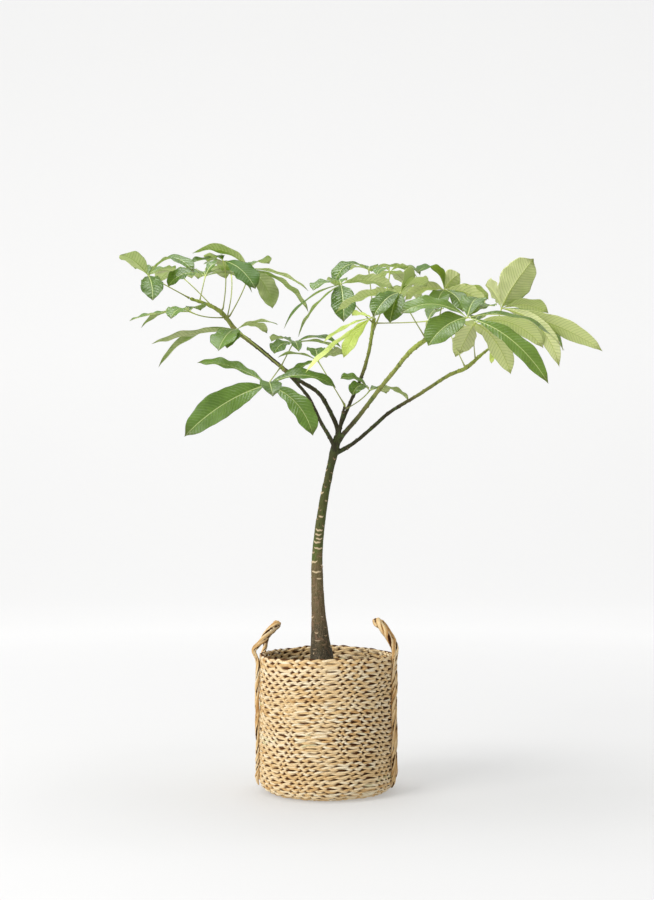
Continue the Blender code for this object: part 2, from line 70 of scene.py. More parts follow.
# The rope handles.
STRAP_RADIUS = 0.0050
STRAP_SINK = 0.0010
LOOP_RADIUS = 0.0090
LOOP_HALF_WIDTH = 0.040
LOOP_LEAN = 0.038
LOOP_RISE_LEFT = 0.063
LOOP_RISE_RIGHT = 0.072
ELBOW_Z = BASKET_HEIGHT + 0.010
ELBOW_LENGTH = 0.013
HANDLES_TURN = math.radians(5.5)
STRAP_HEIGHTS = (0.016, 0.022, 0.030, 0.060, 0.11, 0.16, 0.21, 0.26, BASKET_HEIGHT)
ROPE_TWIST = 0.095
ROPE_SIDES = 14
ROPE_SAMPLES = 420

# The pot, its saucer and the soil.
FLOOR_Z = 0.0133
SAUCER_RADIUS = 0.107
SAUCER_HEIGHT = 0.020
SAUCER_STEPS = 120
POT_FOOT_Z = 0.0156
POT_TOP_RADIUS = 0.118
POT_FOOT_RADIUS = 0.097
POT_WALL = 0.0025
POT_RIM_Z = 0.258
POT_LIP = 0.003
POT_STEPS = 132
DRAIN_HOLES = 6
DRAIN_CIRCLE = 0.064
DRAIN_RADIUS = 0.006
SOIL_Z = 0.248
SOIL_HEAP = 0.0035
SOIL_HEAP_RADIUS = 0.05
SOIL_STEPS, SOIL_RINGS = 150, 46
CRUMBS = 240

# Leaves: a leaflet's half width at shares of its length, and where its points lie across it.
OUTLINE_AT = (0, 0.02, 0.05, 0.09, 0.16, 0.26, 0.38, 0.50, 0.60, 0.70, 0.79, 0.87, 0.925, 0.96,
              0.985, 1)
SLENDER, BLUNT, OVAL = np.array((
    (0.03, 0.03, 0.05, 0.15, 0.36, 0.62, 0.84, 0.97, 1, 0.95, 0.81, 0.57, 0.34, 0.15, 0.06, 0.012),
    (0.03, 0.03, 0.05, 0.14, 0.33, 0.57, 0.79, 0.93, 0.99, 1, 0.93, 0.75, 0.51, 0.25, 0.07, 0.012),
    (0.03, 0.03, 0.07, 0.24, 0.51, 0.76, 0.92, 0.99, 1, 0.95, 0.84, 0.65, 0.43, 0.20, 0.06, 0.012),
))
HALF_ACROSS = (0, 0.035, 0.10, 0.22, 0.37, 0.53, 0.69, 0.84, 0.94, 1.0)
ACROSS = np.array([-share for share in HALF_ACROSS[:0:-1]] + list(HALF_ACROSS))
ROW_LENGTH, FEWEST_ROWS, MOST_ROWS = 0.0042, 26, 48
LEAF_THICKNESS = 0.0008
CUP = 0.25
FRILL = 0.12
VEIN_SPACING = 0.0080
# The leaflets with an oval outline or a rich green face, by number; the leaves of fresh growth;
# and from where to the right (in cm), and over how much, undersides get painted light: paler, as if
# lit from behind.
OVAL_LEAFLETS = {"leaf_07": 0, "leaf_14": 0, "leaf_16": 0}
RICH_LEAFLETS = {"leaf_03": 1, "leaf_13": 0}
RICH_TONE = 2.0
YOUNG_LEAVES = ("leaf_18", "leaf_26")
PALE_FROM, PALE_OVER = 8, 14
TOP_SLOT, UNDER_SLOT, STALK_SLOT = 0, 1, 2
# A stalk starts a little inside the wood, runs straight out to its knee, and bows to its hub.
STALK_SINK = 0.0008
STALK_KNEE = 0.0068
STALK_BOW = 0.22
STALK_SIDES = 12

# The wood's mesh, and the random scars round the back of the trunk.
TRUNK_SIDES, BRANCH_SIDES = 28, 16
WOOD_GRAIN = 0.0016
POINTS_AT_ONCE = 20000
BACK_SCARS = 46

# The studio: a floor that curves up into a wall, and the camera that stands where the photo's did.
FLOOR_FRONT, COVE_START, COVE_RADIUS, WALL_TOP, FLOOR_HALF_WIDTH = -8, 5, 1.6, 9.0, 11
FLOOR_DROP = 0.0005
CAMERA_AT = (0, -3.2, 0.644)
CAMERA_PITCH = math.radians(91.75)
LENS_MM, SENSOR_MM = 58.2, 36
SKY_STRENGTH = 0.45

# The wood: (x, y, z, radius) in cm, the trunk from its buried foot up, and each branch from
# inside the trunk to its tip.
TRUNK = (
    (-1.0, 0, 19.5, 1.6), (-1.0, 0, 22.5, 3.0), (-1.0, 0, 24.8, 3.4), (-1.1, 0, 26.4, 3.0),
    (-1.1, 0, 28.2, 2.7), (-1.4, 0, 31.7, 2.2), (-1.65, 0.1, 35.2, 1.85), (-1.9, 0.2, 39, 1.55),
    (-2.1, 0.4, 44, 1.38), (-2.2, 0.5, 48.5, 1.3), (-2.0, 0.5, 53, 1.15), (-1.6, 0.4, 57, 1.08),
    (-0.8, 0.2, 62.5, 0.98), (0, 0, 66.7, 0.9), (0.8, 0, 70.5, 0.88), (1.6, 0, 74, 1.0),
    (2.4, 0, 77.2, 0.85),
)
# How far up each branch, as a share of its length, its bark is old and dark.
DARK_UNTIL = {"left_low": 0.92, "left_high": 0.58, "centre": 0.50, "stub": 0.95, "right_high": 0.10,
              "right_low": 0.42}
# Leaf scars on the trunk's face: height in cm, the way it faces in radians round from the
# viewer's side, half its spread in radians, and how pale it is.
TRUNK_SCARS = (
    (72.6, 0.5, 0.5, 0.5), (69.8, -1.1, 0.5, 0.8), (67.6, 0.7, 0.5, 0.5), (66.2, -0.3, 0.5, 0.4),
    (64.8, -1.2, 0.6, 0.9), (63.2, 0.6, 0.45, 0.6), (61.0, -0.4, 0.4, 0.4), (59.6, -0.1, 0.6, 1.0),
    (57.6, 0.8, 0.5, 0.5), (56.6, -0.1, 0.9, 1.0), (55.6, -0.2, 0.8, 0.9), (54.7, 0.1, 0.8, 0.9),
    (53.9, -0.3, 0.9, 1.0), (52.6, 0.2, 1.1, 0.9), (51.6, -1.0, 0.5, 0.6), (50.8, 0.6, 0.5, 0.4),
    (49.6, -0.6, 0.7, 1.0), (48.3, 0.9, 0.5, 0.4), (47.4, -0.1, 1.0, 1.0), (45.9, 0.4, 0.5, 0.9),
    (44.4, -0.7, 0.6, 0.35), (43.1, 0.5, 0.7, 0.3), (41.8, -0.4, 0.5, 0.35), (40.2, 0.8, 0.5, 0.3),
    (38.6, -0.8, 0.4, 0.3), (37.6, 0.5, 0.18, 0.6), (36.3, -0.2, 0.4, 0.3), (35.2, 0.8, 0.3, 0.4),
    (34.2, -0.4, 0.3, 0.6), (33.5, 0.7, 0.3, 0.45), (32.5, -0.3, 0.4, 0.5), (31.6, 0.3, 0.3, 0.35),
    (30.7, -0.7, 0.3, 0.4), (29.9, -0.8, 0.1, 0.9),
)
BRANCHES = {
    "left_low": (
        (1.6, -0.3, 74.2, 0.6), (1.1, -1.0, 76, 0.48), (-1.5, -2.5, 80.5, 0.42),
        (-4, -4, 85.5, 0.4), (-7.3, -5.5, 89.3, 0.38), (-10, -6, 92, 0.42),
    ),
    "left_high": (
        (2.2, 0.2, 76.5, 0.6), (2.2, 1.0, 79.3, 0.55), (-0.2, 2, 84.4, 0.5), (-2.4, 2, 87.3, 0.48),
        (-7.5, 1, 90.5, 0.46), (-14.9, -2, 96.4, 0.48), (-19.6, -3, 100, 0.5),
        (-22.8, -4, 103.8, 0.5), (-25.6, -5, 105.5, 0.42), (-29.6, -6, 106.8, 0.34),
    ),
    "centre": (
        (2.4, 0.2, 76.5, 0.55), (3.1, 2, 79.8, 0.45), (5.8, 4, 86.3, 0.42), (8.1, 6, 91.8, 0.42),
        (9.4, 7, 96.4, 0.42), (10.1, 8, 100.3, 0.42), (10.6, 8, 104.2, 0.48),
    ),
    "stub": ((2.6, -0.2, 77, 0.42), (2.9, -1.2, 80, 0.34), (3.9, -2, 83.9, 0.3)),
    "right_high": (
        (2.2, -0.1, 75.5, 0.65), (3.6, -0.4, 77.6, 0.55), (7.2, -2, 81.8, 0.5),
        (11.1, -4, 86.9, 0.5), (14.7, -5.5, 91.3, 0.48), (18.1, -6, 95.4, 0.52),
        (21.7, -7, 98.1, 0.54), (23.8, -7, 100.2, 0.46),
    ),
    "right_low": (
        (1.7, 0.1, 73.3, 0.6), (5.7, 1, 75.6, 0.46), (9.7, 2, 78.9, 0.44), (14, 3, 82.7, 0.44),
        (20.7, 4, 86.8, 0.42), (27, 5, 90.9, 0.44), (31.1, 5, 92.7, 0.48), (34, 5, 95.2, 0.42),
        (36.2, 5, 97, 0.3),
    ),
}

# Each leaf, in cm: where its stalk leaves the wood, the hub where its leaflets meet, and the
# leaflets. A leaflet is its tip seen from the hub, its width, the rise of its arch, and how many
# degrees its upper face is turned from the sky towards the viewer.
LEAVES = {
    "leaf_01": ((-29.6, -6, 106.8), (-38.5, -8, 111.5), (
        (-4.7, -8, 3.4, 4.5, 0.8, -30), (10.4, -6, -0.2, 4.2, 3.4, 20), (4.5, 12, 3, 4, 1, 0),
        (1.8, -7, -6.2, 4.8, 1, 45), (-4, 9, 3, 4, 1, 0))),
    "leaf_02": ((-27.6, -5.6, 106.2), (-27, 2, 113), (
        (-8, -3, -2.8, 4.8, 1.6, 35), (5, 4, 1, 4, 2.5, 20), (10.5, -1, -3.7, 3.5, 2.2, 0),
        (-2.4, 8, 0.6, 4.2, 1.2, 0), (4, 9, 0.8, 4, 1.3, -10))),
    "leaf_03": ((-23.2, -4.1, 104.1), (-22.5, -6, 115), (
        (-6.8, -4, -1.2, 4, 0.7, 15), (7.3, -6, -6.8, 5.2, 1.2, 40), (-4, 7, 1, 4, 1.2, 0),
        (-0.2, 9, -0.9, 4, 0.6, 0))),
    "leaf_04": ((-21.9, -3.7, 102.8), (-17, -2, 114), (
        (-12, -6, 2.5, 4.8, 2.1, -10), (5.2, -3, -9.2, 4.6, 1.0, -60), (13, -3, -5.2, 3.2, 1.1, -8),
        (13, 4, -9, 3.4, 1.8, -2), (4, 8, 2.5, 4.5, 1, -20))),
    "leaf_05": ((-22.4, -3.9, 103.3), (-29, -14, 103), (
        (-12, -5, -2.4, 3.4, 0.5, 8), (-10.5, 2, -3, 3.2, 1.4, 0), (-3, -9, -2.5, 4, 1.2, 10),
        (1.6, 8, 1.4, 4.2, 0.8, -30), (-5, 9, 0.3, 4, 0.8, 0))),
    "leaf_06": ((-10, -6, 92), (-19.5, -7.5, 100), (
        (-17.5, -6, -3.6, 4.2, 0.5, -14), (-17, 1, -8, 3.6, 2.9, -10),
        (-2.9, -13, -5.8, 5.5, 1, 10), (-1.5, -8, -4.8, 4, 1, 15), (9, -3, 0.8, 3, 1.0, 0),
        (6.5, 4, -0.3, 3.4, 1.3, -10))),
    "leaf_07": ((-10, -6, 92), (-12.5, -14, 87.5), (
        (-17, -5, -11, 6.4, 1.5, 65), (9.6, -4, -10.8, 5, 1.9, 45), (-15, 2, 5, 4.6, 1.3, 25),
        (14.5, 3, -0.3, 5, 2.3, 30), (1.5, -10, -3, 4.5, 1.5, 5))),
    "leaf_08": ((-10, -6, 92), (-7.5, -1.5, 97.5), (
        (-4, -4, -2.5, 4, 1, 30), (-5, 8, 1.5, 3.5, 1, -10), (10.6, -3, -1, 3.6, 1.8, 15),
        (10, 4, -1, 3, 1.2, 0), (1.5, -9, -2.5, 2.4, 1.2, 10))),
    "leaf_09": ((10.4, 7.8, 103.4), (3, -6, 110), (
        (-12.3, -4, -10, 2.6, 1.7, 0), (-9.5, 8, -10.5, 2.6, 1.4, 20), (-6, -6, -2.1, 4.2, 1.0, 12),
        (0.5, -7, -9, 5.4, 1.2, 60), (11.5, -2, -1.2, 4.6, 1.1, -22), (-1, 9, 1, 4.5, 1, 0))),
    "leaf_10": ((10.6, 8, 104.2), (9.5, 10, 115.6), (
        (-8, -7, -4.3, 4.0, 2.8, 25), (-6, 9, 0.8, 3.4, 0.9, 0), (11, -4, -2.3, 3.6, 1.5, 0),
        (10.5, 4, 0.3, 3.2, 0.9, 0), (1, 11, 1.4, 4, 0.9, 0))),
    "leaf_11": ((21.5, -7, 98), (15.5, -14, 107), (
        (3.5, 9, 4.7, 5, 1, -60), (-14, -5, -5, 4, 1.6, -25), (-6, -8, -6, 4.5, 1.2, 50),
        (-2.5, -6, -7, 5, 1, 60), (6, 7, 2.5, 4.4, 1.2, -30))),
    "leaf_12": ((10.3, 8, 101.6), (14, 2, 114), (
        (-3.2, -7, -1.8, 3, 1, 10), (6.5, -5, -1.5, 3, 1.5, 0), (4, 8, -1.8, 4, 0.8, 0),
        (-2.4, 6, -1.2, 2.8, 0.6, 0))),
    "leaf_13": ((23.8, -7, 100.2), (26, 0, 109.5), (
        (-6.5, -5, 3.2, 4.8, 3.2, 10), (3.4, 1, 3.7, 4.4, 0.4, -75), (-9, -2, -2.5, 5.5, 1.5, -25),
        (-2.5, -8, -5.5, 4.4, 1, 40), (8.5, -2, -4.4, 4.6, 1.4, -40), (10, 3, -1.5, 4.6, 1.2, -10),
        (3.5, -6, -5.5, 4, 1, 40))),
    "leaf_14": ((23, -7, 99.4), (29, -20, 101), (
        (-8.5, -6, -6.4, 6.2, 1.2, 55), (-14, -3, 0.5, 4.8, 2.3, 40), (3, 6, 5, 5.5, 0.8, 20),
        (20.6, 3, -6.3, 4.5, 3.3, 20), (16, -5, -14, 4.3, 2.4, 60),
        (6.6, 8, 3.6, 4.8, 0.8, 15))),
    "leaf_15": ((33.4, 5, 94.7), (32, -6, 101.5), (
        (-3, 4, -6, 5.0, 0.3, -50), (-3.5, 8, -6.5, 3.6, 0.6, -60), (8.5, 6, -10.5, 4.8, 2.0, -50),
        (16, 8, -4.5, 4.5, 2.8, -30), (2, 9, 2, 4, 1, 0))),
    "leaf_16": ((36.2, 5, 97), (39.5, 8, 106.5), (
        (7.9, 5, 12, 7.8, 0.8, -70), (-2.6, 8, 6.4, 5.4, 0.8, -50), (11.5, 6, -0.2, 4.5, 1.3, -30),
        (22, -4, -10, 4.8, 0.8, -45), (11.6, -9, -14, 3.8, 3.0, -60), (14, 0, -9.5, 4, 2.8, 20))),
    "leaf_17": ((3.9, -2, 83.9), (-2, -10.4, 93), (
        (-7.5, 2.5, -3.5, 3.4, 0.3, 30), (-8.5, 2, 1, 3, 1, 0), (-0.5, 5.5, 3.2, 4, 0.6, 0),
        (5.3, 3.5, 1.8, 3.6, 0.6, -30))),
    "leaf_18": ((10.6, 8, 104.3), (10, 3, 103.8), (
        (-14.5, -22, -14, 2.0, 0.5, 0), (-10.9, -16.5, -7.2, 2.0, 0.8, 0),
        (-6.4, -4, -9.3, 3.2, 1, 40), (-4.5, -5, 0, 3, 0.4, 35))),
    "leaf_19": ((3.7, -1.9, 83.3), (9.5, 2.5, 87.5), (
        (-6.5, -3, 2.5, 3.6, 1.2, 28), (-4, -7, -1.5, 3.6, 1.6, 40), (9, 4, -2, 3.4, 1.6, 0),
        (4, 8, 0, 3.4, 1, 0))),
    "leaf_20": ((-25, -4.8, 105.1), (-34, 8, 114.6), (
        (-5, 8, -1, 4.4, 1.2, 0), (-1.5, 11, 0.6, 4.4, 1.2, 0), (-7, 4, 0.2, 3.8, 0.8, -10),
        (4.5, 3, 0.2, 3.4, 0.8, 0), (2.5, 9.5, 0.3, 4, 1.0, 0))),
    "leaf_21": ((-22, -3.7, 102.9), (-22, 12, 115), (
        (-6, 7, 1, 4.2, 1.2, 0), (-1, 11, 2, 4.8, 1.5, 0), (4, 10, -1.5, 4.4, 1.2, 0),
        (8, 4, -2, 4, 1.5, -10), (-6, -3.5, 1.8, 3.6, 1.0, 0))),
    "leaf_22": ((10.4, 8, 102.5), (14, 17, 112), (
        (-1, 11, -1.5, 4.4, 1.5, 0), (4, 10, -1, 4.6, 1.5, 0), (8.5, 5, -2, 4.6, 1.5, 0),
        (7.5, -2, -2.5, 4, 1.2, 0))),
    "leaf_23": ((31.1, 5, 92.7), (28, 18, 104), (
        (-3.4, 9, -1, 4, 1.5, 0), (1.2, 11, -1, 4.4, 1.5, 0), (5.5, 11, -3, 4.6, 1.5, 0),
        (9, 5, -2, 4.6, 1.5, 0))),
    "leaf_24": ((10.5, 8, 103.2), (22.5, 3, 103), (
        (3, 8, -3.5, 4, 1, 0), (9, 2, -3.5, 4.2, 1.2, 0), (3, 9, 3.5, 4, 1, 0),
        (2, -6, -4, 3, 1, 30))),
    "leaf_25": ((35.4, 5, 96.2), (41, 19, 101), (
        (9, 6, 0.5, 4.8, 1.5, 0), (-1, 11, 0, 4.4, 1.5, 0), (2, 12, -3, 5, 1.5, 0),
        (10, -2, 0.5, 4.2, 1.5, 0))),
    "leaf_26": ((36.2, 5, 97), (37.2, 2.6, 98), (
        (-0.8, -1.2, -4.6, 1.2, 0.3, 40), (1.6, -1.6, -4, 1.2, 0.3, 40),
        (2.4, 1.2, -3, 1.1, 0.3, 0))),
}


# ---------------------------------------------------------------- meshes


def noise(points, per_metre, seed=0):
    """Smooth random numbers from -1 to 1 over space, with that many cells to a metre."""
    spot = np.asarray(points, float) * per_metre
    cell = np.floor(spot).astype(np.int64)
    part = spot - cell
    part = part * part * (3 - 2 * part)
    total = np.zeros(spot.shape[:-1])
    for corner in range(8):
        step = np.array([corner & 1, corner >> 1 & 1, corner >> 2])
        x, y, z = np.moveaxis(cell + step, -1, 0)
        mixed = (x * 374761393 + y * 668265263 + z * 1274126177 + seed * 974634777) & 0xFFFFFFFF
        mixed = ((mixed ^ (mixed >> 13)) * 1103515245) & 0xFFFFFFFF
        mixed = (mixed ^ (mixed >> 16)) & 0xFFFF
        weight = np.prod(np.where(step == 1, part, 1 - part), axis=-1)
        total += (mixed / 32767.5 - 1) * weight
    return total


def line_noise(along, per_metre, seed=0):
    """The same, along a line."""
    along = np.asarray(along, float)
    return noise(np.stack([along, 0 * along, 0 * along + 0.37 / per_metre], -1), per_metre, seed)


def unit(v):
    return v / np.maximum(np.linalg.norm(v, axis=-1, keepdims=True), 1e-12)


def clamp(values):
    return np.clip(values, 0, 1)


def hump(values, width):
    """1 where the values are nought, falling off smoothly over that width."""
    return np.exp(-(values / width) ** 2)


def bearings(count):
    """That many angles evenly round a circle."""
    return 2 * np.pi * np.arange(count) / count


def spokes_at(angles):
    """Level unit vectors at those angles."""
    return np.stack([np.cos(angles), np.sin(angles), 0 * angles], -1)


def dots(first, second):
    """The dot product of each pair of rows."""
    return np.einsum("ij,ij->i", first, second)


def curve(points, per_span):
    """Points along a Catmull-Rom curve through the given rows."""
    points = np.asarray(points, float)
    padded = np.vstack([2 * points[0] - points[1], points, 2 * points[-1] - points[-2]])
    t = (np.arange(per_span) / per_span)[:, None]
    spans = []
    for before, start, end, after in zip(padded, padded[1:], padded[2:], padded[3:]):
        spans.append(0.5 * (2 * start + (end - before) * t
                            + (2 * before - 5 * start + 4 * end - after) * t * t
                            + (3 * start - before - 3 * end + after) * t ** 3))
    return np.vstack([*spans, points[-1:]])


def lengths(path):
    """How far along a path each of its points is."""
    return np.concatenate([[0], np.cumsum(np.linalg.norm(np.diff(path, axis=0), axis=1))])


def framing(path, hint=(0.0, 0.0, 1.0)):
    """At each point of a path: the way ahead, and two directions square to it that turn little."""
    ahead = unit(np.gradient(path, axis=0))
    across = np.empty_like(ahead)
    last = np.array(hint) + np.array([0.013, 0.007, 0])
    for i, way in enumerate(ahead):
        last = unit(last - way * (last @ way))
        across[i] = last
    return ahead, across, np.cross(ahead, across)


def strip(rows, columns, wrap=True, close=False):
    """The quads of a grid of points, row after row.

    wrap joins the two ends of each row, and close joins the last row to the first."""
    r, c = np.meshgrid(np.arange(rows if close else rows - 1),
                       np.arange(columns if wrap else columns - 1), indexing="ij")
    up, right = (r + 1) % rows, (c + 1) % columns
    return np.stack([r * columns + c, r * columns + right, up * columns + right, up * columns + c],
                    -1).reshape(-1, 4)


def keep(mesh, name, rows):
    """Stores a number for each point of a mesh, or a vector for the way the fibres run."""
    kind, field = ("FLOAT_VECTOR", "vector") if name == "fibre" else ("FLOAT", "value")
    made = mesh.attributes.new(name, kind, "POINT")
    made.data.foreach_set(field, rows.astype(np.float32).ravel())


def read(collection, field):
    """The vectors of a mesh's points or normals."""
    rows = np.empty(len(collection) * 3, np.float32)
    collection.foreach_get(field, rows)
    return rows.reshape(-1, 3).astype(float)


def linked(name, data):
    """A new object in the scene."""
    obj = bpy.data.objects.new(name, data)
    bpy.context.scene.collection.objects.link(obj)
    return obj


def placed(obj, node):
    """Lets a finished piece stand for its CAD node and ride on the body."""
    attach(obj, "root")
    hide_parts(node)
    return obj


def fixed(obj):
    """Applies an object's modifiers."""
    bpy.context.view_layer.update()
    graph = bpy.context.evaluated_depsgraph_get()
    mesh = bpy.data.meshes.new_from_object(obj.evaluated_get(graph))
    obj.modifiers.clear()
    obj.data = mesh
    return mesh


class Skin:
    """One mesh being gathered: points, faces and the values kept for each point."""

    def __init__(self, *names):
        self.points, self.faces, self.slots = [], [], []
        self.values = {name: [] for name in names}
        self.count = 0

    def add(self, points, faces, slot=0, **values):
        points = np.asarray(points, float).reshape(-1, 3)
        self.points.append(points)
        self.faces.extend((np.asarray(faces) + self.count).tolist())
        self.slots.extend([slot] * len(faces) if np.isscalar(slot) else slot)
        for name, kept in self.values.items():
            width = 3 if name == "fibre" else 1
            value = np.asarray(values.get(name, 0.0), float)
            value = value.reshape(-1, width) if value.ndim else value
            kept.append(np.broadcast_to(value, (len(points), width)))
        self.count += len(points)

    def cap(self, ring, towards, slot=0, **values):
        """A fan from a point over a ring of points that was just added."""
        self.add([towards], [], **values)
        tip = self.count - 1
        for i, j in zip(ring, np.roll(ring, -1)):
            self.faces.append([int(i), int(j), tip])
            self.slots.append(slot)

    def loft(self, rings, ends=None, at_ends=({}, {}), slot=0, way=1, **values):
        """Rings of points joined in a row and closed by fans to two end points, or into a loop.

        A value is one number, or one for each ring, or one for each point. The way is -1 for
        rings that run clockwise."""
        rows, columns = np.shape(rings)[:2]
        ring = np.arange(self.count, self.count + columns)
        spread = {key: np.repeat(value, columns) if np.shape(value) == (rows,) else value
                  for key, value in values.items()}
        self.add(rings, strip(rows, columns, close=ends is None)[:, ::way], slot, **spread)
        if ends is not None:
            self.cap(ring[::-way], ends[0], **at_ends[0])
            self.cap((ring + (rows - 1) * columns)[::way], ends[1], **at_ends[1])

    def tube(self, path, radii, sides, ends, slot=0, **values):
        """A tube with rounded ends along a path; radii and values are one for each path point."""
        ahead, across, side = framing(path)
        angles = bearings(sides)[:, None]
        spread = across[:, None] * np.cos(angles) + side[:, None] * np.sin(angles)
        self.loft(path[:, None] + spread * np.reshape(radii, (-1, 1, 1)),
                  (path[0] - ahead[0] * radii[0] * ends[0],
                   path[-1] + ahead[-1] * radii[-1] * ends[1]),
                  [{"slot": slot, **{key: value[i] for key, value in values.items()}}
                   for i in (0, -1)], slot, **values)

    def mesh(self, name):
        made = bpy.data.meshes.new(name)
        made.from_pydata(np.vstack(self.points).tolist(), [], self.faces)
        return made

    def make(self, name, node, materials):
        mesh = self.mesh(name)
        for key, rows in self.values.items():
            keep(mesh, key, np.vstack(rows))
        for material in materials:
            mesh.materials.append(material)
        mesh.polygons.foreach_set("material_index", self.slots)
        mesh.shade_smooth()
        mesh.update()
        return placed(linked(name, mesh), node)


# ---------------------------------------------------------------- materials


def rgba(colour):
    """A socket as it is, or a colour with its alpha."""
    return colour if isinstance(colour, bpy.types.NodeSocket) else (*colour, 1)


class Nodes:
    """A material's node tree, written one node at a time."""

    def __init__(self, name, roughness, **constants):
        self.material = bpy.data.materials.new(name)
        self.material.use_nodes = True
        self.tree = self.material.node_tree
        self.shader = self.tree.nodes["Principled BSDF"]
        self.shader.inputs["Roughness"].default_value = roughness
        for key, value in constants.items():
            self.shader.inputs[key.replace("_", " ")].default_value = value

    def node(self, kind, inputs=(), **settings):
        made = self.tree.nodes.new("ShaderNode" + kind)
        for key, value in settings.items():
            setattr(made, key, value)
        for key, value in dict(inputs).items():
            if isinstance(value, bpy.types.NodeSocket):
                self.tree.links.new(value, made.inputs[key])
            else:
                made.inputs[key].default_value = value
        return made

    def kept(self, name, output="Fac"):
        """A value that the mesh keeps for each point."""
        return self.node("Attribute", attribute_name=name).outputs[output]

    def place(self, scale=(1, 1, 1), source=None):
        """Object coordinates, or those of a vector, stretched by a scale."""
        vector = source or self.node("TexCoord").outputs["Object"]
        return self.node("Mapping", {"Vector": vector, "Scale": scale}).outputs["Vector"]

    def speckle(self, vector, scale, detail=3, rough=0.55, distortion=0.0):
        return self.node("TexNoise", {"Vector": vector, "Scale": scale, "Detail": detail,
                                      "Roughness": rough, "Distortion": distortion}).outputs["Fac"]

    def cells(self, vector, scale, feature="F1", output="Distance"):
        return self.node("TexVoronoi", {"Vector": vector, "Scale": scale},
                         feature=feature).outputs[output]

    def ramp(self, factor, *stops):
        """A colour ramp from (position, colour) stops."""
        made = self.node("ValToRGB", {"Fac": factor})
        elements = made.color_ramp.elements
        while len(elements) < len(stops):
            elements.new(0.5)
        for element, (position, colour) in zip(elements, stops):
            element.position = position
            element.color = rgba(colour)
        return made.outputs["Color"]

    def span(self, value, low, high, to_low=0.0, to_high=1.0):
        return self.node("MapRange", {"Value": value, "From Min": low, "From Max": high,
                                      "To Min": to_low, "To Max": to_high}).outputs["Result"]

    def mix(self, factor, first, second, blend="MIX"):
        return self.node("Mix", {0: factor, 6: rgba(first), 7: rgba(second)}, data_type="RGBA",
                         blend_type=blend).outputs[2]

    def tint(self, base, colour, value, low, high, amount=1.0, blend="MIX"):
        """A colour over a base: none where a value is low, and that amount where it is high."""
        return self.mix(self.span(value, low, high, 0.0, amount), base, colour, blend)

    def math(self, operation, first, second):
        return self.node("Math", {0: first, 1: second}, operation=operation).outputs[0]

    def sum(self, first, second):
        return self.math("ADD", first, second)

    def times(self, first, second):
        return self.math("MULTIPLY", first, second)

    def bump(self, height, distance, strength):
        return self.node("Bump", {"Height": height, "Distance": distance,
                                  "Strength": strength}).outputs["Normal"]

    def set(self, **links):
        for key, value in links.items():
            self.tree.links.new(value, self.shader.inputs[key.replace("_", " ")])

    def glow_through(self, colour, share):
        """Lets that share of the light through a thin leaf, in that colour."""
        through = self.node("BsdfTranslucent", {"Color": rgba(colour)})
        blend = self.node("MixShader", {"Fac": share, 1: self.shader.outputs[0],
                                        2: through.outputs[0]})
        surface = self.tree.nodes["Material Output"].inputs["Surface"]
        self.tree.links.new(blend.outputs[0], surface)


def straw_material():
    """Dried flat fibres: pale straw with tan, greenish and orange-brown strands, and painted shade
    darkening the seams between them.
    """
    n = Nodes("straw_finish", 0.62, Specular_IOR_Level=0.2)
    fibre, tone, deep = n.kept("fibre", "Vector"), n.kept("tone"), n.kept("deep")
    streaks = n.speckle(n.place((14, 900, 900), fibre), 1.0, 3, 0.6)
    blotches = n.speckle(n.place((38, 60, 60), fibre), 1.0, 2, 0.5)
    base = n.ramp(tone, (0.0, (0.46, 0.22, 0.07)), (0.14, (0.60, 0.36, 0.14)),
                  (0.36, (0.75, 0.53, 0.26)), (0.62, (0.85, 0.68, 0.42)),
                  (0.88, (0.91, 0.81, 0.60)), (1.0, (0.56, 0.51, 0.25)))
    dark = n.mix(n.span(streaks, 0.30, 0.50, 0.50, 0.0), base, (0.50, 0.33, 0.15), "MULTIPLY")
    worn = n.tint(dark, (0.56, 0.33, 0.14), blotches, 0.60, 0.78, 0.45)
    # Painted shade: the seams and creases between strands are multiplied down to a near-black
    # brown.
    colour = n.tint(worn, (0.10, 0.038, 0.009), deep, 0.20, 0.66, 0.985, "MULTIPLY")
    dull = n.sum(n.span(streaks, 0.3, 0.7, 0.72, 0.52), n.span(deep, 0.1, 0.6, 0.0, 0.3))
    n.set(Base_Color=colour, Roughness=dull, Normal=n.bump(streaks, 0.0007, 0.8))
    return n.material


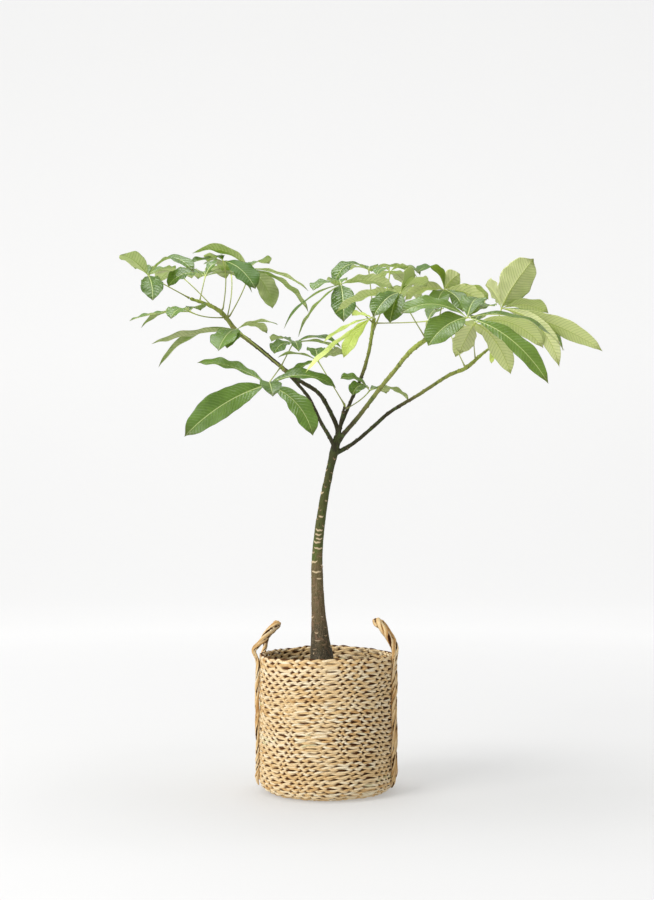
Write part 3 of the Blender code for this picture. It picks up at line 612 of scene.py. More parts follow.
def bark_material():
    """Grey and flecked at the foot, reddish brown above, then olive with cream leaf scars."""
    n = Nodes("bark_finish", 0.7, Specular_IOR_Level=0.2)
    age, scar = n.kept("age"), n.kept("scar")
    streaks = n.speckle(n.place((330, 330, 60)), 1.0, 4, 0.65, 0.6)
    grain = n.speckle(n.place((1, 1, 0.9)), 700, 3, 0.6)
    patches = n.speckle(n.place((1, 1, 0.6)), 75, 4, 0.6, 0.8)
    base = n.ramp(age, (0.0, (0.36, 0.43, 0.090)), (0.10, (0.27, 0.30, 0.075)),
                  (0.22, (0.160, 0.155, 0.052)), (0.32, (0.062, 0.052, 0.026)),
                  (0.52, (0.038, 0.038, 0.018)), (0.60, (0.058, 0.063, 0.022)),
                  (0.69, (0.078, 0.088, 0.024)), (0.745, (0.092, 0.100, 0.030)),
                  (0.765, (0.082, 0.120, 0.022)), (0.79, (0.135, 0.106, 0.046)),
                  (0.87, (0.120, 0.086, 0.040)), (0.92, (0.064, 0.055, 0.033)),
                  (1.0, (0.050, 0.050, 0.042)))
    old = n.span(age, 0.76, 0.82)
    mossy = n.times(n.span(patches, 0.54, 0.66, 0.0, 0.75), n.span(age, 0.92, 0.60))
    green = n.mix(mossy, base, (0.082, 0.125, 0.034))
    bare = n.times(n.span(patches, 0.46, 0.34, 0.0, 0.55), n.span(age, 0.62, 0.85))
    ruddy = n.mix(bare, green, (0.24, 0.135, 0.080))
    tan = n.mix(n.times(n.span(streaks, 0.55, 0.66, 0.0, 0.50), old), ruddy, (0.30, 0.21, 0.125))
    black = n.tint(tan, (0.028, 0.024, 0.017), streaks, 0.44, 0.33, 0.70)
    flecks = n.mix(n.times(n.span(grain, 0.57, 0.65, 0.0, 0.80), old), black, (0.36, 0.29, 0.19))
    rim = n.tint(flecks, (0.16, 0.085, 0.040), scar, 0.05, 0.25, 0.55)
    corky = n.times(n.span(scar, 0.22, 0.60), n.span(grain, 0.26, 0.44, 0.45, 1.0))
    n.set(Base_Color=n.mix(corky, rim, (0.58, 0.47, 0.30)),
          Roughness=n.span(streaks, 0.3, 0.7, 0.82, 0.55),
          Normal=n.bump(n.sum(streaks, n.times(grain, 0.5)), 0.0012, 0.75))
    return n.material


def stalk_material(name, low, high):
    """A leaf's stalk: from one green at the wood to another at the hub, with brown grain."""
    n = Nodes(name, 0.42, Specular_IOR_Level=0.45)
    grain = n.speckle(n.place(), 420, 3)
    base = n.tint(low, high, n.kept("blade_u"), 0.0, 1.0)
    colour = n.tint(base, (0.15, 0.14, 0.04), grain, 0.45, 0.75, 0.35)
    n.set(Base_Color=colour, Normal=n.bump(grain, 0.0004, 0.4))
    return n.material


def blade_material(name, dark, light, vein, midrib, vein_share, rough, through, through_share,
                   painted_backlight=None):
    """A leaf's face: two greens in soft patches, side veins, a pale midrib and a brown tip.

    Light comes through it in the colour through. Given a painted light colour, the leaves kept as
    pale
    get painted light: they are lighter, and light comes through them in that colour."""
    n = Nodes(name, rough, Specular_IOR_Level=0.5)
    order, rib, tone = n.kept("vein"), n.kept("rib"), n.kept("tone")
    shade, glow = n.times(tone, 0.45), through
    # Painted light: leaves kept as pale get a lighter face and pass light in a paler colour, as if
    # lit from behind.
    if painted_backlight:
        shade = n.sum(shade, n.times(n.kept("pale"), 0.5))
        glow = n.mix(n.kept("pale"), through, painted_backlight)
    patches = n.speckle(n.place(), 34, 3, 0.55)
    fine = n.cells(n.place(), 520, "DISTANCE_TO_EDGE")
    from_vein = n.math("PINGPONG", order, 0.5)
    halo = n.span(from_vein, 0.32, 0.02)
    body = n.tint(dark, light, n.sum(patches, shade), 0.35, 0.90)
    net = n.mix(n.span(fine, 0.0, 0.16, 0.22, 0.0), body, light)
    haloed = n.mix(n.times(halo, vein_share * 0.25), net, vein)
    veined = n.mix(n.times(n.span(from_vein, 0.12, 0.02), vein_share), haloed, vein)
    ribbed = n.tint(veined, midrib, rib, 1.25, 0.70)
    rich = n.times(n.span(tone, 1.2, 1.8), n.span(rib, 0.7, 1.4, 0.2, 0.9))
    face = n.mix(rich, ribbed, (0.036, 0.110, 0.002))
    colour = n.tint(face, (0.055, 0.040, 0.018), n.kept("tip"), 0.90, 1.0, 0.8)
    relief = n.sum(n.times(halo, -0.7), n.times(fine, 0.5))
    dull = n.sum(n.span(patches, 0.3, 0.7, rough + 0.08, rough - 0.05),
                 n.span(tone, 1.2, 1.8, 0.0, 0.30))
    n.set(Base_Color=colour, Roughness=dull, Normal=n.bump(relief, 0.0013, 0.55))
    n.glow_through(glow, through_share)
    return n.material


def plastic_material():
    """Thin moulded nursery-pot plastic: near black, with fine grain, scuffs and dust."""
    n = Nodes("pot_plastic_finish", 0.42, Specular_IOR_Level=0.4)
    grain = n.speckle(n.place(), 1400, 2)
    dust = n.speckle(n.place((1, 1, 2.5)), 34, 4, 0.65)
    colour = n.tint((0.018, 0.018, 0.019), (0.085, 0.075, 0.062), dust, 0.48, 0.72, 0.5)
    n.set(Base_Color=colour, Roughness=n.span(dust, 0.35, 0.7, 0.36, 0.62),
          Normal=n.bump(grain, 0.0002, 0.4))
    return n.material


def soil_material():
    """Moist peat with darker crumbs, bark fragments and a few pale grains."""
    n = Nodes("soil_finish", 0.95, Specular_IOR_Level=0.25)
    crumbs = n.cells(n.place(), 260, output="Color")
    bits = n.cells(n.place(), 150)
    lumps = n.speckle(n.place(), 130, 5, 0.7)
    base = n.tint((0.022, 0.014, 0.009), (0.085, 0.055, 0.034), lumps, 0.35, 0.65)
    brown = n.tint(base, (0.15, 0.085, 0.045), crumbs, 0.72, 0.86, 0.7)
    colour = n.tint(brown, (0.46, 0.42, 0.35), bits, 0.055, 0.035, 0.8)
    n.set(Base_Color=colour, Normal=n.bump(n.sum(lumps, bits), 0.004, 0.9))
    return n.material


# ---------------------------------------------------------------- basket


def fibre_lines(along, roll, radius, shift):
    """Where each point lies on its strand's fibres: how far along, and round which side."""
    run, roll = np.broadcast_arrays(along[:, None] + shift, roll)
    return np.stack([run, np.cos(roll) * radius, np.sin(roll) * radius], -1)


def braid(skin, centre, out, up, along, seed, drift, closed=True, sides=8, bulk=1.0, spread=1.0,
          shade=1.0):
    """Three strands plaited along a line; out and up are the braid's thickness and width.

    Near the seams between strands, where the surface lies low, each point keeps an amount of
    painted shade, scaled by shade."""
    turns = 2 * np.pi * along / BRAID_PERIOD
    if closed:
        whole = round(along[-1] / BRAID_PERIOD * len(along) / (len(along) - 1))
        turns = 2 * np.pi * whole * np.arange(len(along)) / len(along)
    around = bearings(sides)
    level, face = np.cos(around), np.sin(around)
    for k in range(STRANDS):
        phase = turns + 2 * np.pi * k / STRANDS + drift
        own = seed * 5 + k
        swell = 1 + 0.14 * line_noise(along, 60, own) + 0.09 * line_noise(along, 170, own + 31)
        swing = STRAND_SWING * (1 + 0.10 * line_noise(along, 40, own + 7))
        core = (centre + up * (swing * np.sin(phase))[:, None]
                + out * (STRAND_WEAVE * bulk * np.sin(2 * phase))[:, None])
        wide = STRAND_WIDE * spread * swell
        thick = STRAND_THICK * bulk * (1 + 0.12 * line_noise(along, 90, own + 3))
        points = (core[:, None] + up[:, None] * level[:, None] * wide[:, None, None]
                  + out[:, None] * face[:, None] * thick[:, None, None])
        tone = (0.56 + 0.42 * line_noise(along, 8, own + 11)
                + 0.18 * line_noise(along, 31, own + 17))
        stands = np.abs(STRAND_WEAVE * np.sin(2 * phase)[:, None] + STRAND_THICK * face)
        beside = np.abs((swing * np.sin(phase))[:, None] + wide[:, None] * level)
        seam = clamp((beside - 0.0021) / 0.0013)
        # Painted shade: darkest where the surface lies low, most of all at the seams beside other
        # strands.
        seam_shade = clamp((0.0033 - stands) / 0.0018) * (0.28 + 0.72 * seam)
        roll = around + (along * FIBRE_TWIST)[:, None]
        skin.loft(points, None if closed else (core[0], core[-1]),
                  ({"tone": 0.5, "deep": 0.3},) * 2,
                  fibre=fibre_lines(along, roll, 0.003, own * 0.37),
                  tone=clamp(tone), deep=seam_shade * np.reshape(shade, (-1, 1)))


def wall_point(s):
    """The middle of the braid at a distance up the wall: radius, height and outward direction."""
    bend = math.pi / 2 * CORNER_RADIUS
    inner = CORNER_RADIUS - BRAID_DEPTH
    if s < 0:
        return BASKET_RADIUS - CORNER_RADIUS + s, BRAID_DEPTH, 0.0, -1.0
    if s < bend:
        turn = s / CORNER_RADIUS
        return (BASKET_RADIUS - CORNER_RADIUS + inner * math.sin(turn),
                CORNER_RADIUS - inner * math.cos(turn), math.sin(turn), -math.cos(turn))
    return BASKET_RADIUS - BRAID_DEPTH, CORNER_RADIUS + s - bend, 1.0, 0.0


def build_wall(straw):
    """Rows of braid, each a ring that wanders a little up and down, in and out."""
    ring = bearings(WALL_SAMPLES)
    spokes = spokes_at(ring)
    lowest = STRAND_THICK + STRAND_WEAVE + 0.0002
    for number, piece in enumerate(WALL_PIECES):
        skin = Skin(*STRAW_VALUES)
        for row in range(number * ROWS_IN_A_PIECE, (number + 1) * ROWS_IN_A_PIECE):
            radius, z, level, dip = wall_point((row + 0.5) * BRAID_PITCH - FOOT_TURN_IN)
            spot = spokes * radius + UP * z * 0.6
            sway = math.sin(math.pi * min(1, z / BASKET_HEIGHT) * 0.8)
            wave = (0.0065 * sway * noise(spot, 6.5, 15) + 0.0012 * noise(spot, 30, 5)
                    + 0.0006 * noise(spot, 80, 6))
            uneven = 0.0012 * noise(spot, 21, 8)
            drift = (row * math.pi / 3 + 1.3 * noise(spot, 12, 21) + 1.1 * noise(spot, 48, 22)
                     + 0.9 * math.sin(row * 12.9))
            out, up = spokes * level + UP * dip, UP * level - spokes * dip
            centre = spokes * radius + UP * z + up * wave[:, None] + out * uneven[:, None]
            centre[:, 2] = np.maximum(centre[:, 2], lowest)
            # Above the pot's rim the strands are wider, so that no light shows between them.
            # The painted shade in the seams is made stronger or weaker at random over the wall.
            braid(skin, centre, out, up, ring * radius, row + 1, drift,
                  spread=1.2 if z > POT_RIM_Z else 1.0,
                  shade=np.clip(0.95 + 0.6 * noise(spot, 26, 33), 0.4, 1.3))
        skin.make(piece, "basket_wall", [straw])


def build_base(straw):
    """The flat coil of braid that closes the basket, from its middle out."""
    turns = BASE_COIL_RADIUS / BRAID_PITCH
    theta = 2 * np.pi * np.linspace(BASE_COIL_START, turns, BASE_COIL_SAMPLES)
    radius = BRAID_PITCH * theta / (2 * np.pi)
    spokes = spokes_at(theta)
    centre = spokes * radius[:, None] + UP * BASE_COIL_Z
    skin = Skin(*STRAW_VALUES)
    braid(skin, centre, np.tile(-UP, (len(theta), 1)), spokes, lengths(centre), BASE_COIL_SEED, 0.0,
          closed=False, sides=7, bulk=1.28)
    skin.make("basket_base_coil", "basket_base", [straw])


def wall_radius(z):
    if z >= CORNER_RADIUS:
        return BASKET_RADIUS
    drop = CORNER_RADIUS - z
    return BASKET_RADIUS - CORNER_RADIUS + math.sqrt(CORNER_RADIUS ** 2 - drop ** 2)


def handle_path(out, back, rise, elbows):
    """A handle's centre line and thickness; elbows is how far its legs stand off at the rim."""
    def reach(z):
        return math.sqrt((wall_radius(z) + STRAP_RADIUS - STRAP_SINK) ** 2 - LOOP_HALF_WIDTH ** 2)

    rows = [(reach(z), -LOOP_HALF_WIDTH, z, STRAP_RADIUS) for z in STRAP_HEIGHTS]
    for i in range(1, 10):
        turn = math.pi * i / 10
        climb = math.sin(turn)
        rows.append((reach(BASKET_HEIGHT) - LOOP_LEAN * climb ** 2,
                     -LOOP_HALF_WIDTH * math.cos(turn), BASKET_HEIGHT + rise * climb,
                     STRAP_RADIUS + (LOOP_RADIUS - STRAP_RADIUS) * climb))
    rows += [(reach(z), LOOP_HALF_WIDTH, z, STRAP_RADIUS) for z in reversed(STRAP_HEIGHTS)]
    rows = curve(rows, 12)
    rows[:, 0] += hump(rows[:, 2] - ELBOW_Z, ELBOW_LENGTH) * np.where(rows[:, 1] < 0, *elbows)
    return rows[:, :1] * out + rows[:, 1:2] * back + rows[:, 2:3] * UP, rows[:, 3]


def build_handles(straw):
    """Each handle is a rope of three twisted strands, each strand a loose bundle of flat fibres."""
    right = np.array([math.cos(HANDLES_TURN), -math.sin(HANDLES_TURN), 0])
    back = np.array([math.sin(HANDLES_TURN), math.cos(HANDLES_TURN), 0])
    around = bearings(ROPE_SIDES)
    level, face = np.cos(around), np.sin(around)
    for name, out, rise, elbows, seed in (
            ("handle_left", -right, LOOP_RISE_LEFT, (0.009, -0.004), 3),
            ("handle_right", right, LOOP_RISE_RIGHT, (0.001, 0.003), 9)):
        path, thick = handle_path(out, back, rise, elbows)
        along = lengths(path)
        even = np.linspace(0, along[-1], ROPE_SAMPLES)
        path = np.stack([np.interp(even, along, path[:, i]) for i in range(3)], -1)
        from_end = np.minimum(even, even[-1] - even)
        thick = np.interp(even, along, thick) * clamp(0.35 + from_end / 0.03)
        ahead, across, side = framing(path, out)
        path = path + np.stack([line_noise(even, 24, seed + i) * 0.0012 for i in range(3)], -1)
        skin = Skin(*STRAW_VALUES)
        for k in range(STRANDS):
            own = seed * 7 + k
            turn = (2 * np.pi * even / ROPE_TWIST + 2 * np.pi * k / STRANDS
                    + 2.4 * line_noise(even, 13, seed)
                    + 0.8 * line_noise(even, 38, own + 5))[:, None]
            off = across * np.cos(turn) + side * np.sin(turn)
            beside = np.cross(ahead, off)
            stand_off = thick * 0.50 * (1 + 0.22 * line_noise(even, 40, own + 9))
            core = path + off * stand_off[:, None]
            loose = 0.24 * line_noise(even, 60, own) + 0.16 * line_noise(even, 150, own + 1)
            folds = (0.94 + 0.15 * np.cos(4 * around + even[:, None] * 190 + own)
                     + loose[:, None])
            points = core[:, None] + (thick[:, None] * folds)[..., None] * (
                off[:, None] * (0.50 * level)[:, None] + beside[:, None] * (0.66 * face)[:, None])
            tone = (0.42 + 0.30 * line_noise(even, 24, own + 2)[:, None]
                    + 0.22 * np.cos(around * 2 + own))
            # The side of each strand that faces into the rope gets painted shade, as in the creases
            # between strands, made uneven by noise.
            uneven = 0.5 * line_noise(even, 70, own + 4) + 0.6 * line_noise(even, 260, own + 6)
            skin.loft(points, (core[0] - ahead[0] * 0.002, core[-1] + ahead[-1] * 0.002),
                      ({"tone": 0.4, "deep": 0.5},) * 2,
                      fibre=fibre_lines(even, around, 0.004, own * 0.41),
                      tone=clamp(tone), deep=clamp(0.45 - level + uneven[:, None]))
        skin.make(name + "_rope", name, [straw])


# ---------------------------------------------------------------- pot and soil


def lathe(skin, profile, steps):
    """A closed shape turned about Z from an outline that starts and ends on the axis."""
    angles = bearings(steps)
    body = np.array(profile[1:-1])
    rings = np.stack([body[:, :1] * np.cos(angles), body[:, :1] * np.sin(angles),
                      np.repeat(body[:, 1:], steps, axis=1)], -1)
    skin.loft(rings, [(0, 0, profile[0][1]), (0, 0, profile[-1][1])])


def arc(radius, z, size, start, end, steps=6):
    """Outline points round part of a circle, by angles in degrees."""
    turns = np.radians(np.linspace(start, end, steps))
    return [(radius + size * math.cos(t), z + size * math.sin(t)) for t in turns]


def build_saucer(plastic):
    """A shallow dish with a rounded rim."""
    inside, top = FLOOR_Z + 0.002, FLOOR_Z + SAUCER_HEIGHT
    foot = SAUCER_RADIUS - 0.006
    skin = Skin()
    lathe(skin, [(0, FLOOR_Z), (foot - 0.03, FLOOR_Z),
                 *arc(foot - 0.002, FLOOR_Z + 0.002, 0.002, -90, -18),
                 *arc(SAUCER_RADIUS - 0.0012, top - 0.0012, 0.0012, 0, 180),
                 *arc(foot - 0.0035, inside + 0.0015, 0.0015, -18, -90),
                 (foot - 0.03, inside), (0, inside)], SAUCER_STEPS)
    skin.make("saucer_dish", "drip_saucer", [plastic])


def build_pot(plastic):
    """The nursery pot, with a rolled rim, a moulded step below it and drain holes."""
    foot, inside, rim = POT_FOOT_Z, POT_FOOT_Z + POT_WALL, POT_RIM_Z
    wide, lip = POT_TOP_RADIUS, POT_TOP_RADIUS + POT_LIP
    skin = Skin()
    lathe(skin, [(0, foot), (0.044, foot), (0.084, foot),
                 *arc(POT_FOOT_RADIUS - 0.004, foot + 0.004, 0.004, -90, 0),
                 (wide - 0.0035, rim - 0.034), (wide - 0.0015, rim - 0.033), (wide, rim - 0.017),
                 *arc(lip - 0.001, rim - 0.013, 0.001, -90, 0),
                 *arc(lip - 0.0016, rim - 0.0016, 0.0016, 0, 90),
                 *arc(wide - 0.001, rim - 0.0015, 0.0015, 90, 180),
                 (wide - POT_WALL - 0.0015, rim - 0.03),
                 *arc(POT_FOOT_RADIUS - POT_WALL - 0.003, inside + 0.003, 0.003, 0, -90),
                 (0.084, inside), (0.044, inside), (0, inside)], POT_STEPS)
    pot = skin.make("nursery_pot_shell", "nursery_pot", [plastic])
    drills = Skin()
    for i in range(DRAIN_HOLES):
        angle = 2 * math.pi * (i + 0.3) / DRAIN_HOLES
        x, y = DRAIN_CIRCLE * math.cos(angle), DRAIN_CIRCLE * math.sin(angle)
        path = np.array([(x, y, foot - 0.01), (x, y, inside + 0.01)])
        drills.tube(path, [DRAIN_RADIUS] * 2, 24, (0, 0))
    helper = linked("drills", drills.mesh("drills"))
    holes = pot.modifiers.new("holes", "BOOLEAN")
    holes.operation = "DIFFERENCE"
    holes.object = helper
    fixed(pot)
    bpy.data.objects.remove(helper)


def heap(radius):
    """How far the soil stands up round the trunk."""
    return SOIL_HEAP * hump(radius, SOIL_HEAP_RADIUS)


def build_soil(earth):
    """Loose potting mix, heaped a little round the trunk."""
    foot = POT_FOOT_Z + POT_WALL + 0.0003
    foot_radius = POT_FOOT_RADIUS - 0.004
    edge = POT_TOP_RADIUS - POT_WALL - 0.0016
    radii = edge * (np.arange(1, SOIL_RINGS + 1) / SOIL_RINGS) ** 0.85
    angles = bearings(SOIL_STEPS)
    x, y = radii[:, None] * np.cos(angles), radii[:, None] * np.sin(angles)
    flat = np.stack([x, y, 0 * x], -1)
    z = (SOIL_Z + heap(radii)[:, None] + 0.0016 * noise(flat, 40, 3)
         + 0.0014 * noise(flat, 110, 4) + 0.0012 * noise(flat, 260, 5))
    top = np.stack([x, y, z], -1)
    skin = Skin()
    skin.add(top, strip(SOIL_RINGS, SOIL_STEPS)[:, ::-1])
    skin.cap(np.arange(SOIL_STEPS), (0, 0, SOIL_Z + 0.004))
    wall = np.stack([top[-1], spokes_at(angles) * foot_radius + UP * foot])
    base = skin.count
    skin.add(wall, strip(2, SOIL_STEPS)[:, ::-1])
    skin.cap(np.arange(base + SOIL_STEPS, base + 2 * SOIL_STEPS)[::-1], (0, 0, foot))
    draw = np.random.default_rng(12)
    for _ in range(CRUMBS):
        where = edge * 0.97 * math.sqrt(draw.random())
        turn = 2 * math.pi * draw.random()
        crumb(skin, draw, np.array([where * math.cos(turn), where * math.sin(turn),
                                    SOIL_Z + heap(where) + 0.0008]))
    skin.make("potting_mix", "soil", [earth])


def crumb(skin, draw, centre):
    """A lump of soil or bark: a rough, flattened ball."""
    size = np.array([1.0, 0.75, 0.5]) * (0.0016 + 0.0026 * draw.random() ** 2)
    angles = bearings(6) + draw.random() * 6.28
    tilts = np.radians([-50, 0, 50])[:, None]
    ball = np.stack([np.cos(tilts) * np.cos(angles), np.cos(tilts) * np.sin(angles),
                     np.sin(tilts) + 0 * angles], -1)
    skin.loft(centre + ball * size * (0.8 + 0.4 * draw.random((3, 6, 1))),
              (centre - UP * size[2], centre + UP * size[2]))


# ---------------------------------------------------------------- trunk


def wood_stems():
    """Every stem, the trunk first: its smooth points in metres, their radii and their age."""
    stems = []
    for name, row in {"trunk": TRUNK, **BRANCHES}.items():
        stem = curve(row, 8) * CM
        share = lengths(stem[:, :3]) / lengths(stem[:, :3])[-1]
        if name == "trunk":
            age = 1.0 - 0.42 * share
        else:
            dark = DARK_UNTIL[name]
            age = np.interp(share, (0, dark, dark * 0.7 + 0.3, 1), (0.50, 0.33, 0.15, 0.0))
        stems.append((stem[:, :3], stem[:, 3], age))
    return stems


def build_trunk(bark):
    """The trunk and its branches as tubes, grown together into one skin and weathered."""
    stems = wood_stems()
    skin = Skin()
    for number, (path, radii, _) in enumerate(stems):
        skin.tube(path, radii * 0.985, BRANCH_SIDES if number else TRUNK_SIDES, (0.1, 0.8))
    wood = linked("trunk_wood", skin.mesh("wood"))
    remesh = wood.modifiers.new("grown together", "REMESH")
    remesh.mode = "VOXEL"
    remesh.voxel_size = WOOD_GRAIN
    soft = wood.modifiers.new("eased", "SMOOTH")
    soft.factor = 0.5
    soft.iterations = 4
    mesh = fixed(wood)
    points, normals = read(mesh.vertices, "co"), read(mesh.vertex_normals, "vector")
    moved, age, scar = weathered(points, normals, stems)
    mesh.vertices.foreach_set("co", moved.astype(np.float32).ravel())
    keep(mesh, "age", age)
    keep(mesh, "scar", scar)
    mesh.materials.clear()
    mesh.materials.append(bark)
    mesh.shade_smooth()
    mesh.update()
    placed(wood, "trunk_and_branches")


def nearest_wood(points, stems):
    """For each point its stem's number, how far along it is, round which side, and its age."""
    best = np.full(len(points), np.inf)
    stem = np.zeros(len(points), int)
    along, turn, age = np.zeros((3, len(points)))
    for number, (path, radii, years) in enumerate(stems):
        ahead, across, side = framing(path, (0, -1.0, 0))
        run = lengths(path)
        for low in range(0, len(points), POINTS_AT_ONCE):
            part = slice(low, low + POINTS_AT_ONCE)
            gap = np.linalg.norm(points[part, None] - path, axis=-1) - radii * 0.5
            near, found = gap.argmin(axis=1), gap.min(axis=1)
            closer = found < best[part]
            rows = np.arange(len(points))[part][closer]
            at = near[closer]
            offset = points[rows] - path[at]
            best[rows] = found[closer]
            stem[rows] = number
            along[rows] = run[at] + dots(offset, ahead[at])
            turn[rows] = np.arctan2(dots(offset, side[at]), dots(offset, across[at]))
            age[rows] = years[at]
    return stem, along, turn, age


def turned_from(turn, facing):
    """How far round angles are from one, either way."""
    return np.abs((turn - facing + math.pi) % (2 * math.pi) - math.pi)


def weathered(points, normals, stems):
    """The wood's points, moved out or in by scars, rings and grain; their age and scarring."""
    stem, along, turn, age = nearest_wood(points, stems)
    push = 0.00045 * noise(points * [1, 1, 0.35], 190, 2) + 0.0003 * noise(points, 420, 6)
    scar = np.zeros(len(points))
    on_trunk = stem == 0
    draw = np.random.default_rng(4)
    foot = stems[0][0][0, 2]
    marks = [(z * CM - foot, facing, spread, bright) for z, facing, spread, bright in TRUNK_SCARS]
    for _ in range(BACK_SCARS):
        marks.append((0.07 + 0.46 * draw.random(), math.pi + 4.2 * (draw.random() - 0.5),
                      0.4 + 0.6 * draw.random(), 0.4 + 0.6 * draw.random()))
    for at, facing, spread, bright in marks:
        off = turned_from(turn, facing) / spread
        share = clamp(1 - off ** 2)
        shown = clamp(share * 3) * on_trunk
        level = along - at - 0.0030 * off ** 2 - 0.0006 * np.sin(turn * 7 + at * 900)
        line = hump(level, 0.0006 + 0.0013 * share) * shown
        push += 0.0006 * line - 0.0004 * (hump(level - 0.0022, 0.0020) * shown)
        scar = np.maximum(scar, line * bright)
    for number, (path, _, _) in enumerate(stems[1:], 1):
        mine = stem == number
        length = lengths(path)[-1]
        at = 0.03
        while at < length:
            off = turned_from(turn, 2 * math.pi * draw.random())
            around = clamp((0.9 + 1.1 * draw.random() - off) * 2) * mine
            ring = hump(along - at + 0.0010 * np.cos(turn + at * 90), 0.0011) * around
            knob = hump(along - at - 0.001, 0.0022) * around
            push += 0.0006 * ring + 0.0007 * knob
            scar = np.maximum(scar, ring * (0.08 + 0.45 * draw.random() ** 2))
            at += (0.016 + 0.024 * draw.random()) * (1 - 0.55 * at / length)
    low = clamp((0.33 - points[:, 2]) / 0.07) * on_trunk
    push += low ** 1.5 * 0.0022 * (np.cos(turn * 3 + 0.8) * 0.5 + np.cos(turn * 5 + 2.2) * 0.35)
    age = age + 0.018 * noise(points, 60, 9) * np.where(on_trunk, 1, 2)
    return points + normals * push[:, None], clamp(age), scar


# ---------------------------------------------------------------- leaves


def wood_under(root):
    """The nearest place on a branch's axis: point, direction, radius, and whether it's a tip."""
    best = None
    for row in BRANCHES.values():
        for start, end in zip(row, row[1:]):
            a, b = Vector(start[:3]) * CM, Vector(end[:3]) * CM
            along = b - a
            share = min(1, max(0, (root - a).dot(along) / along.length_squared))
            spot = a + along * share
            distance = (spot - root).length
            if best is None or distance < best[0]:
                radius = (start[3] + (end[3] - start[3]) * share) * CM
                best = (distance, spot, along.normalized(), radius, share == 1 and end is row[-1])
    return best[1:]


def stalk_path(root, hub):
    """A stalk's line: square out of the wood, then in an easy curve to its hub."""
    spot, axis, radius, at_tip = wood_under(root)
    out = hub - spot
    if not at_tip:
        out -= axis * out.dot(axis)
    out.normalize()
    start = spot + out * (radius - STALK_SINK)
    knee = start + out * STALK_KNEE
    reach = hub - knee
    bend = out * reach.length * STALK_BOW
    rows = [start, start + out * (STALK_KNEE / 2)]
    for t in np.linspace(0, 1, 9).tolist():
        rows.append(knee + reach * t + bend * 2 * t * (1 - t))
    return curve([list(row) for row in rows], 3)


def both_faces(top, under):
    """Rows of points across a leaflet's top and back across its underside, as closed rings."""
    return np.concatenate([top, under[:, -2:0:-1]], axis=1)


def leaflet(skin, hub, tip, width, arch, tilt, seed, oval, rich, pale):
    """One leaflet: a short stalk that widens into an arched, veined blade with a drawn-out tip.

    In it u runs along the leaflet from 0 to 1, v across it from -1 to 1, and off is the distance
    from the midrib."""
    draw = np.random.default_rng(seed)
    reach = tip - hub
    length = np.linalg.norm(reach)
    straight = reach / length
    sky = np.array([0, -math.sin(tilt), math.cos(tilt)])
    upper = unit(sky - straight * (sky @ straight))
    lift = unit(UP - straight * straight[2])
    rows = int(np.clip(length / ROW_LENGTH, FEWEST_ROWS, MOST_ROWS))
    u = np.linspace(0, 1, rows) ** 0.94
    v = ACROSS
    bend = (draw.random() - 0.5) * 0.07 * length
    line = (hub + reach * u[:, None] + lift * (arch * 4 * u * (1 - u))[:, None]
            + np.cross(straight, upper) * (bend * np.sin(np.pi * u) * u)[:, None])
    ahead = unit(np.gradient(line, axis=0))
    up = unit(upper - ahead * (ahead @ upper)[:, None])
    across = np.cross(ahead, up)
    bluntness = clamp(0.25 + 0.9 * draw.random() + (0.13 - length) * 2.5)
    outline = OVAL if oval else SLENDER * (1 - bluntness) + BLUNT * bluntness
    wavy = 1 + 0.035 * np.sin(u * 17 + seed) + 0.015 * np.sin(u * 41 + seed * 3)
    half = width / 2 * np.interp(u, OUTLINE_AT, outline) * wavy
    off = np.abs(v) * half[:, None]
    # The sheet is folded along the midrib, frilled at the margins, quilted between the side
    # veins, and droops at the tip.
    fold = CUP * (1.15 - 0.55 * u)[:, None]
    waves = 2.2 + 2.4 * draw.random()
    left, right = draw.random(2) * 6.28
    rim = np.where(v > 0, np.sin(2 * np.pi * waves * u[:, None] + left),
                   np.sin(2 * np.pi * (waves * 0.85) * u[:, None] + right))
    frill = rim * np.abs(v) ** 2.2 * np.minimum(half, 0.022)[:, None] * FRILL
    order = (((u * length)[:, None] - off * 0.62 - off ** 2 * 9) / VEIN_SPACING
             + np.where(v > 0, 0.42, 0.0))
    quilt = (0.00030 * np.abs(np.sin(np.pi * order)) ** 0.6 * clamp(off / 0.006)
             * clamp(2.2 - 2 * np.abs(v)))
    droop = -0.0016 * clamp((u - 0.8) / 0.2)[:, None] ** 2
    sheet = (fold * (off ** 1.12) * 0.82 * (0.02 ** -0.12)) * 0.5 + fold * off * 0.5
    height = sheet + frill + quilt + droop
    middle = (line[:, None] + across[:, None] * (v * half[:, None])[..., None]
              + up[:, None] * height[..., None])
    body = LEAF_THICKNESS * (0.35 + 0.65 * (1 - v ** 2)) / 2
    ridge = 0.0011 * hump(off, 0.0012) * (1 - 0.6 * u)[:, None]
    groove = 0.0005 * hump(off, 0.0016)
    rings = both_faces(middle + up[:, None] * (body - groove)[..., None],
                       middle - up[:, None] * (body + ridge)[..., None])
    slots = np.where(np.arange(rings.shape[1]) < len(v) - 1, TOP_SLOT, UNDER_SLOT)
    even = {"tone": RICH_TONE if rich else draw.random(), "pale": pale}
    rib = off * 1000 / (1.25 - 0.8 * u[:, None])
    skin.loft(rings, (line[0], line[-1] + ahead[-1] * 0.0015),
              ({"slot": STALK_SLOT, **even},
               {"slot": TOP_SLOT, "blade_u": 1.0, "tip": 1.0, **even}),
              np.tile(slots, rows - 1).tolist(), -1, vein=both_faces(order, order),
              rib=both_faces(rib, rib), blade_u=u, tip=u + 0.05 * (draw.random() - 0.5), **even)


